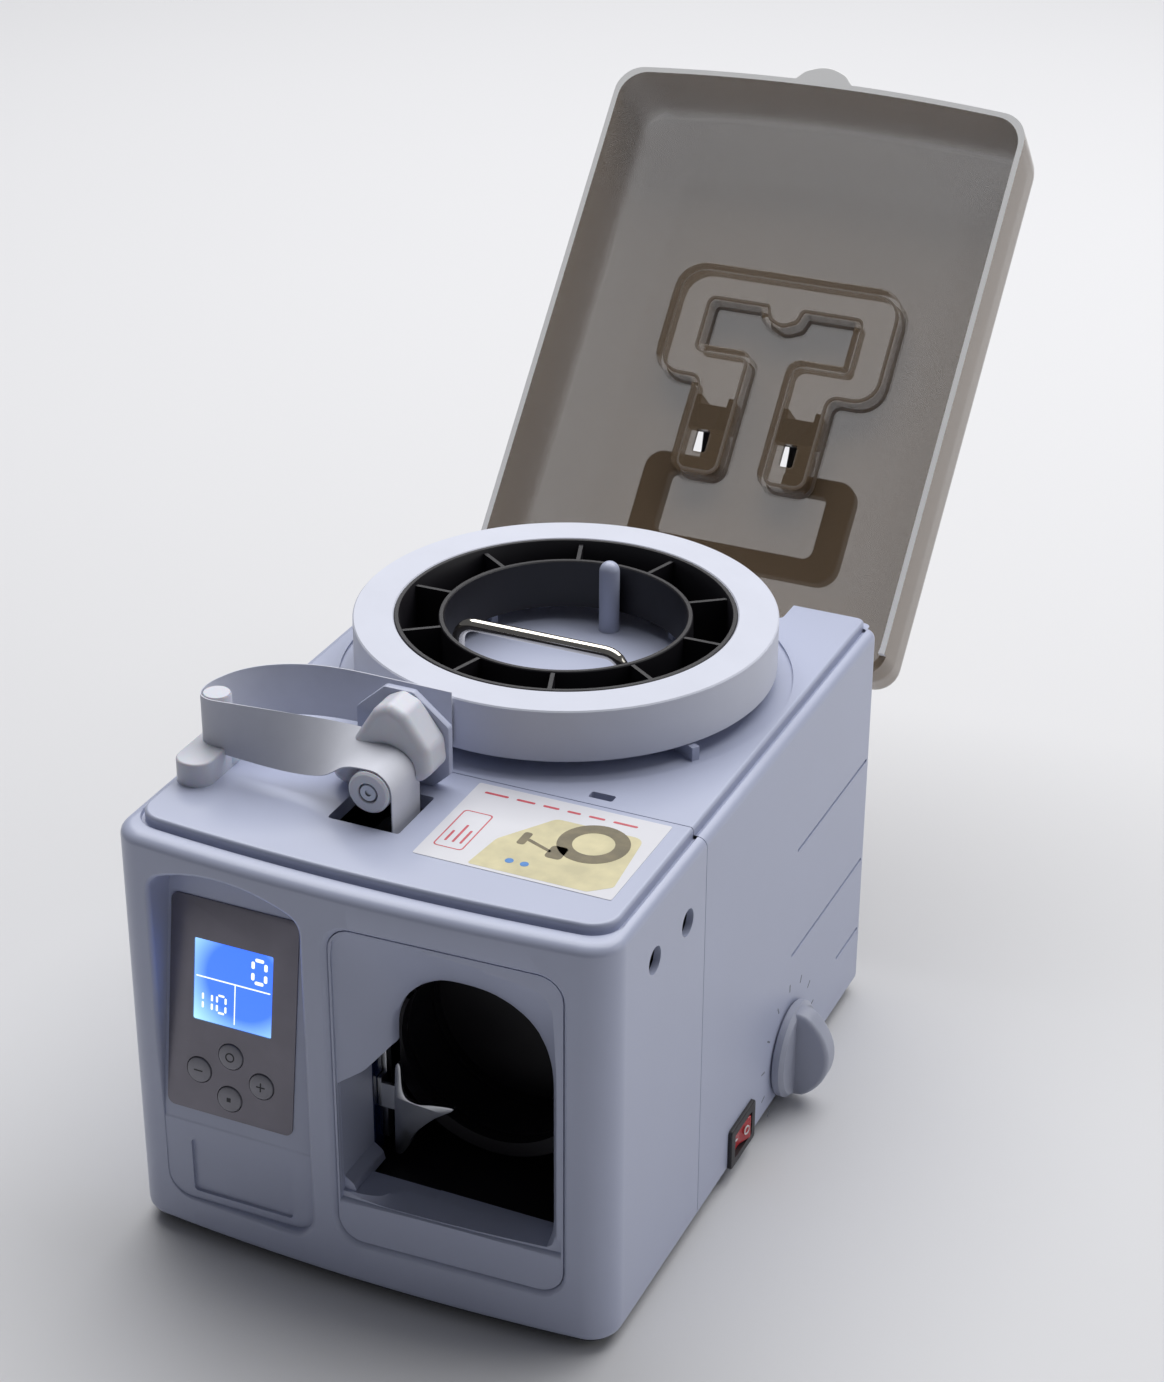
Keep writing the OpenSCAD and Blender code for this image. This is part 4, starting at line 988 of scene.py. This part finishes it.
def well_outline(g=0.0):
    """The handle's recess in the lid, grown by g: a flat hoop, its two legs and a finger scoop."""
    def bend(r):
        return r + g

    def turn(r):
        return max(r - g, 0.3)

    right = [(8.3 + g, -33 + g, turn(1)), (34 - g, -33 + g, turn(2.5)), (34 - g, -9.4 - g, turn(2.5)),
             (10 - g, -9.4 - g, bend(4)), (10 - g, 44 + g, bend(5)), (29 + g, 44 + g, bend(5)),
             (29 + g, 2.5 + g, turn(4)), (49 + g, 2.5 + g, bend(10)), (49 + g, -46 - g, bend(11))]
    left = [(-x, y, r) for x, y, r in reversed(right)]
    side = 6.5 + 0.8 * g
    scoop = [(-side, -27.6 + g, 2), (0, -24.5 + g, 6), (side, -27.6 + g, 2)]
    return soft_outline(right + left + scoop, 5)


def make_lid():
    well = [(-1.2, WELL_Z), (-0.4, WELL_Z + 0.3), (0, WELL_Z + 1.2), (0, LID_Z + LID_H - 1.4),
            (0.4, LID_Z + LID_H - 0.4), (1.6, LID_Z + LID_H + 0.3), (1.6, LID_Z + 60)]
    outer = as_object("dust_cover", lid_shape(0, 0), smoke)
    carve(outer, loft([[(x, y, z) for x, y in well_outline(g)] for g, z in well], on_lid))
    inner = as_object("inside", lid_shape(LID_WALL, LID_WALL))
    boss = [(g + LID_WALL, z - LID_WALL) for g, z in well[:-2]] + [(LID_WALL + 1.8, LID_Z + 60)]
    carve(inner, loft([[(x, y, z) for x, y in well_outline(g)] for g, z in boss], on_lid))
    carve(outer, take_mesh(inner))
    carve(outer, slab(box_outline(-120, 113, 120, 133, 1, 1), LID_Z - 1, LID_Z + 3.6, place=on_lid))
    # Finger tab on the front rim, hinge lugs on the back
    tab = soft_outline([(-13.6, -121.5, 0), (13.6, -121.5, 0), (9, -126.6, 6), (0, -130.2, 14),
                        (-9, -126.6, 6)], 5)
    carve(outer, slab(tab, LID_Z, LID_Z + 2.2, (0.6, 0.6), on_lid, steps=3), "UNION")
    lug = soft_outline([(118.8, 146.2, 4), (124.2, 141.3, 4.2), (129.6, 146.6, 4), (127.8, 151, 2),
                        (122, 175.8, 0.5),
                        (120.3, 175.9, 0.5), (117, 167.6, 1)], 4)
    for x in (-52, 52):
        carve(outer, slab(lug, x - 4, x + 4, (0.5, 0.5), lambda u, v, w: on_lid(w, u, v), steps=2), "UNION")
    for x in (-19.5, 19.5):
        carve(outer, slab(box_outline(x - 3, 26, x + 3, 36, 1, 2), WELL_Z - 5, WELL_Z + 3, place=on_lid))
    # Cut rims and tight bends should look nearly black. Not yet so: slot 1, where these faces
    # go, is an empty one, and smoke_edge is in the slot after it.
    outer.data.materials.append(smoke_edge)
    back_turn = Matrix.Rotation(-LID_OPEN, 3, "X")
    pivot = Vector((0, *HINGE)) * MM
    for face in outer.data.polygons:
        x, y, z = (back_turn @ (face.center - pivot) + pivot) / MM
        in_well = abs(x) < 53 and -50 < y < 48
        foot_bend = WELL_Z + 0.05 < z < WELL_Z + 1.3
        lip_bend = LID_Z + LID_H - 1.5 < z < LID_Z + LID_H - 0.05
        if z < LID_Z + RIM_H or in_well and (foot_bend or lip_bend):
            face.material_index = EDGE_SLOT
    place_piece(outer, "lid", ["dust_lid"], sharp=40, weighted=True)


def make_lid_handle():
    """Hoop handle folded out behind the lid, with its two arms and eyes."""
    py, pz = GRIP_PIVOT

    def folded_out(u, v, w):
        return on_lid(u, 2 * py - v, 2 * pz - w)

    low = WELL_Z + 1.8
    hoop = soft_outline([(14, -7, 2), (14, 1, 2), (47.5, 1, 8), (47.5, -44.5, 9), (-47.5, -44.5, 9),
                         (-47.5, 1, 8),
                         (-14, 1, 2), (-14, -7, 2), (-35.5, -7, 3), (-35.5, -34.6, 4), (35.5, -34.6, 4),
                         (35.5, -7, 3)], 5)
    grip = as_object("lid_grip_hoop", slab(hoop, low, low + 8, (1.5, 1.5), folded_out), black_abs)
    arm = soft_outline([(-3, low + 0.6, 1), (-3, low + 7.4, 1), (4, low + 8, 1.5), (14, pz + 3.4, 2),
                        (19.8, pz + 2.6, 3), (20.6, pz - 1.5, 3), (15.4, pz - 3.9, 2), (10, low, 1.5)], 4)
    for x in (-19.5, 19.5):
        carve(grip, slab(arm, x - 4.9, x + 4.9, (1, 1), lambda u, v, w: folded_out(w, u, v), steps=3),
              "UNION")
    place_piece(grip, "lid_grip", ["lid_handle"], weighted=True)


# ---- controls ----


def make_panel_film():
    outline = box_outline(-25, 1, 25, 82.5, 3)
    film = as_object("keypad_film", slab(outline, 0.02, 0.5, (0, 0.15), on_panel, steps=2), panel_film)
    carve(film, slab(display_outline(0), -2, 3, place=on_panel))
    for u, v in key_places:
        carve(film, slab(disc_outline(u, v, KEY_R + 0.25), -2, 3, place=on_panel))
    place_piece(film, "machine", ["panel_overlay"])


def segment_digit(bm, lit_bars, u, v, width, height, stroke):
    """One seven-segment digit; lit_bars names its bars: t m b across, l r L R up and down."""
    half = height / 2
    across = {"t": v + height, "m": v + half, "b": v}
    upright_bars = {"l": (u, v + half), "r": (u + width, v + half), "L": (u, v), "R": (u + width, v)}
    for bar in lit_bars:
        if bar in across:
            y = across[bar]
            shape = box_outline(u + stroke * 0.6, y - stroke / 2, u + width - stroke * 0.6, y + stroke / 2,
                                stroke * 0.4, 2)
        else:
            x, y = upright_bars[bar]
            shape = box_outline(x - stroke / 2, y + stroke * 0.6, x + stroke / 2, y + half - stroke * 0.6,
                                stroke * 0.4, 2)
        slab(shape, 0.26, 0.3, place=on_panel, bm=bm)


def make_display():
    glass = slab(display_outline(-0.1), -0.6, 0.25, (0, 0.2), on_panel)
    place_piece(as_object("display_glass", glass, lcd_blue), "machine", ["display_window"])
    marks = bmesh.new()
    segment_digit(marks, "tblrLR", 7.6, LCD_V + 4, 5, 8.6, 1.3)
    for u, bars in ((-15.2, "rR"), (-11.6, "rR"), (-6.2, "tblrLR")):
        segment_digit(marks, bars, u, LCD_V - 11, 3.4, 6.6, 0.8)
    slab(box_outline(-14.6, LCD_V + 1.0, 14.6, LCD_V + 1.5, 0.2, 2), 0.26, 0.3, place=on_panel, bm=marks)
    slab(box_outline(0.6, LCD_V - 14, 1.0, LCD_V + 1.0, 0.15, 2), 0.26, 0.3, place=on_panel, bm=marks)
    place_piece(as_object("display_digits", marks, lcd_white), "machine")


def make_keys():
    """Domed keys, each with a plain sign: a ring, a minus, a plus and a dot."""
    signs = {"up": [], "left": [(-1.7, -0.25, 1.7, 0.25)],
             "right": [(-1.7, -0.25, 1.7, 0.25), (-0.25, -1.7, 0.25, 1.7)],
             "down": [(-0.8, -0.8, 0.8, 0.8)]}
    for (name, bars), (u, v) in zip(signs.items(), key_places):
        dome = spin([(0, -3.3), (2, -3.3), (2, -2.6), (KEY_R + 0.9, -2.6), (KEY_R + 0.9, -2.4), (KEY_R, -2.4),
                     (KEY_R, 0.5), (KEY_R - 0.25, 0.95), (KEY_R - 1, 1.2), (KEY_R - 3, 1.32), (0, 1.36)],
                    (u, v),
                    on_panel, steps=48)
        place_piece(as_object("key_cap_" + name, dome, key_film), "key_" + name, ["button_" + name])
        if bars:
            mark = bmesh.new()
            for x0, y0, x1, y1 in bars:
                slab(box_outline(u + x0, v + y0, u + x1, v + y1, 0.15, 2), 1.2, 1.4, place=on_panel, bm=mark)
        else:
            mark = spin([(1.3, 1.2), (1.8, 1.2), (1.8, 1.4), (1.3, 1.4)], (u, v), on_panel, steps=32,
                        ring=True)
        place_piece(as_object("key_sign_" + name, mark, key_ink), "key_" + name)


def make_knob():
    """Skirted knob with a tall finger grip across it."""
    y, z = KNOB
    skirt = spin([(3.05, HALF_W + 0.4), (KNOB_R - 0.6, HALF_W + 0.4), (KNOB_R, HALF_W + 1),
                  (KNOB_R, HALF_W + 3.4),
                  (KNOB_R - 1.6, HALF_W + 5), (3.05, HALF_W + 5)], KNOB, facing_side, steps=80, ring=True)
    knob = as_object("tension_dial", skirt, knob_abs)
    blade = [(z + KNOB_R - 0.9, HALF_W + 1.5), (z + KNOB_R - 0.6, HALF_W + 5)]
    blade += [(z + 21.2 * math.sin(a), HALF_W - 3.2 + 21.2 * math.cos(a))
              for a in (math.radians(58 - 116 * k / 16) for k in range(17))]
    blade += [(z - KNOB_R + 0.6, HALF_W + 5), (z - KNOB_R + 0.9, HALF_W + 1.5)]
    area = sum(blade[i - 1][0] * p[1] - p[0] * blade[i - 1][1] for i, p in enumerate(blade))
    blade = blade if area > 0 else blade[::-1]
    grip = slab(blade, y - 4.5, y + 4.5, (1.8, 1.8), lambda u, v, w: (v, w, u))
    carve(knob, grip, "UNION")
    place_piece(knob, "knob", ["tension_knob"], weighted=True)
    turn = Matrix.Translation(((HALF_W + 0.03) * MM, y * MM, z * MM)) @ Matrix(
        ((0, 0, 1, 0), (1, 0, 0, 0), (0, 1, 0, 0), (0, 0, 0, 1))) @ Matrix.Rotation(math.radians(-45), 4, "Z")
    ticks = bars_round("dial_ticks", print_grey, 11, 26.5, 270, (3.2, 0.7, 0.05), turn)
    place_piece(ticks, "machine")


def make_rocker():
    y0, z0 = ROCKER
    bezel = as_object("rocker_bezel", slab(box_outline(y0 - 12, z0 - 8.5, y0 + 12, z0 + 8.5, 1.5, 4), HALF_W,
                                           HALF_W + 1.6, (0, 0.6), facing_side), black_abs)
    carve(bezel, slab(box_outline(y0 - 9.6, z0 - 6.3, y0 + 9.6, z0 + 6.3, 0.5, 2), HALF_W - 18, HALF_W + 0.3,
                      place=facing_side), "UNION")
    carve(bezel, slab(box_outline(y0 - 8.4, z0 - 5.1, y0 + 8.4, z0 + 5.1, 0.5, 3), HALF_W - 12, HALF_W + 9,
                      place=facing_side))
    carve(bezel, slab(disc_outline(HALF_W - 4, y0, 1.45, 24), z0 - 5.2, z0 + 5.2), "UNION")
    place_piece(bezel, "machine", ["switch_bezel"], weighted=True)
    tilt = math.radians(-9)

    def tilted(u, v, w):
        return (HALF_W - 4 + u * math.cos(tilt) - v * math.sin(tilt),
                y0 + u * math.sin(tilt) + v * math.cos(tilt), z0 + w)

    side = soft_outline([(-4.5, -3, 0.5), (-4.5, 3, 0.5), (1, 7.2, 0.4), (5.4, 7.2, 0.9), (4, 0, 9),
                         (5.4, -7.2, 0.9),
                         (1, -7.2, 0.4)], 5)
    cap = as_object("rocker_cap", slab(side, -4.8, 4.8, (0.5, 0.5), tilted), red_cap)
    carve(cap, slab(disc_outline(0, 0, 1.55, 24), -6, 6, place=tilted))
    place_piece(cap, "rocker", ["power_rocker"], weighted=True)
    ring = spin([(1.3, 4.9), (1.9, 4.9), (1.9, 5.12), (1.3, 5.12)], (4.1, 0),
                lambda u, v, w: tilted(w, u, v), steps=32, ring=True)
    slab(box_outline(-5.4, -0.3, -2.6, 0.3, 0.1, 2), 4.85, 5.1, place=lambda u, v, w: tilted(w, u, v),
         bm=ring)
    place_piece(as_object("rocker_marks", ring, rocker_ink), "rocker")


# ---- carried-over CAD nodes ----

cad_finishes = {
    pan_coat: ["bottom_pan"],
    rubber: ["rubber_feet", "drive_belt"],
    black_abs: ["bay_liner", "tape_loop_ring", "power_inlet", "fuse_holder", "cooling_fan"],
    sensor_blue: ["sensor_window"],
    case_abs: ["roll_ribs"],
    nylon: ["cam_pulley", "pinch_roller"],
    zinc: ["handle_nuts", "lid_hinge_pins", "handle_pins", "knob_shaft", "side_screws", "pan_screws",
           "cam_shaft",
           "press_cam", "shaft_bearings", "cutter_blade"],
    brushed: ["front_plate", "rear_plate"],
    motor_can: ["potentiometer", "main_motor", "motor_pulley", "feed_motor", "transformer"],
    brass: ["seal_block"],
    board: ["display_module", "control_board"],
}


def dress_cad_nodes():
    for material, nodes in cad_finishes.items():
        for node in nodes:
            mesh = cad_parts[node].data
            mesh.materials.clear()
            mesh.materials.append(material)
    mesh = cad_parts["feed_roller"].data
    mesh.materials.clear()
    mesh.materials.append(rubber)


# ---- studio ----


def make_camera():
    azimuth, elevation, roll = (math.radians(a) for a in (24.24, 27.88, 0.24))
    right = Vector((math.cos(azimuth), math.sin(azimuth), 0))
    ahead = Vector((-math.sin(azimuth) * math.cos(elevation), math.cos(azimuth) * math.cos(elevation),
                    -math.sin(elevation)))
    up = right.cross(ahead)
    right, up = (right * math.cos(roll) + up * math.sin(roll), up * math.cos(roll) - right * math.sin(roll))
    data = bpy.data.cameras.new("camera")
    data.lens = 75.71
    data.sensor_width = 36
    data.clip_end = 20
    camera = bpy.data.objects.new("camera", data)
    camera.matrix_world = Matrix((right, up, -ahead)).transposed().to_4x4()
    camera.location = Vector((398.3, -826.9, 662.4)) * MM
    bpy.context.scene.collection.objects.link(camera)
    bpy.context.scene.camera = camera


def soft_box(name, place, target, size, power, colour="#FFFFFF"):
    data = bpy.data.lights.new(name, "AREA")
    data.shape = "RECTANGLE"
    data.size, data.size_y = size
    data.energy = power
    data.color = linear(colour)[:3]
    lamp = bpy.data.objects.new(name, data)
    lamp.location = place
    lamp.rotation_euler = (Vector(target) - Vector(place)).to_track_quat("-Z", "Y").to_euler()
    bpy.context.scene.collection.objects.link(lamp)


def make_studio():
    bm = bmesh.new()
    bmesh.ops.create_grid(bm, x_segments=1, y_segments=1, size=6)
    floor = as_object("floor", bm, finish("floor_paper_white", "#DADADC", 0.8, drift=(600, 0.005),
                                          grain=(2, 0.01)))
    world = bpy.data.worlds.new("studio")
    world.use_nodes = True
    world.node_tree.nodes["Background"].inputs["Color"].default_value = linear("#ECEEF6")
    world.node_tree.nodes["Background"].inputs["Strength"].default_value = 0.12
    bpy.context.scene.world = world
    soft_box("overhead", (-0.1, 1.15, 2.2), (0, 0.3, 0), (3.4, 2.4), 88)
    soft_box("right_wall", (1.9, 0.5, 0.9), (0, 0, 0.1), (1.2, 1.2), 5)
    scene = bpy.context.scene
    scene.view_settings.view_transform = "Standard"


make_camera()
make_studio()
make_front_cover()
make_rear_housing()
make_bay_scoop()
make_note_finger()
make_tape_roll()
make_tape_core()
make_carry_handle()
make_roll_post()
make_loose_tape()
make_guide_post()
make_twist_arch()
make_twist_bracket()
make_tape_roller()
make_label()
make_lid()
make_lid_handle()
make_panel_film()
make_display()
make_keys()
make_knob()
make_rocker()
soften("handle_brackets", "lid", black_abs, 0.5)
dress_cad_nodes()
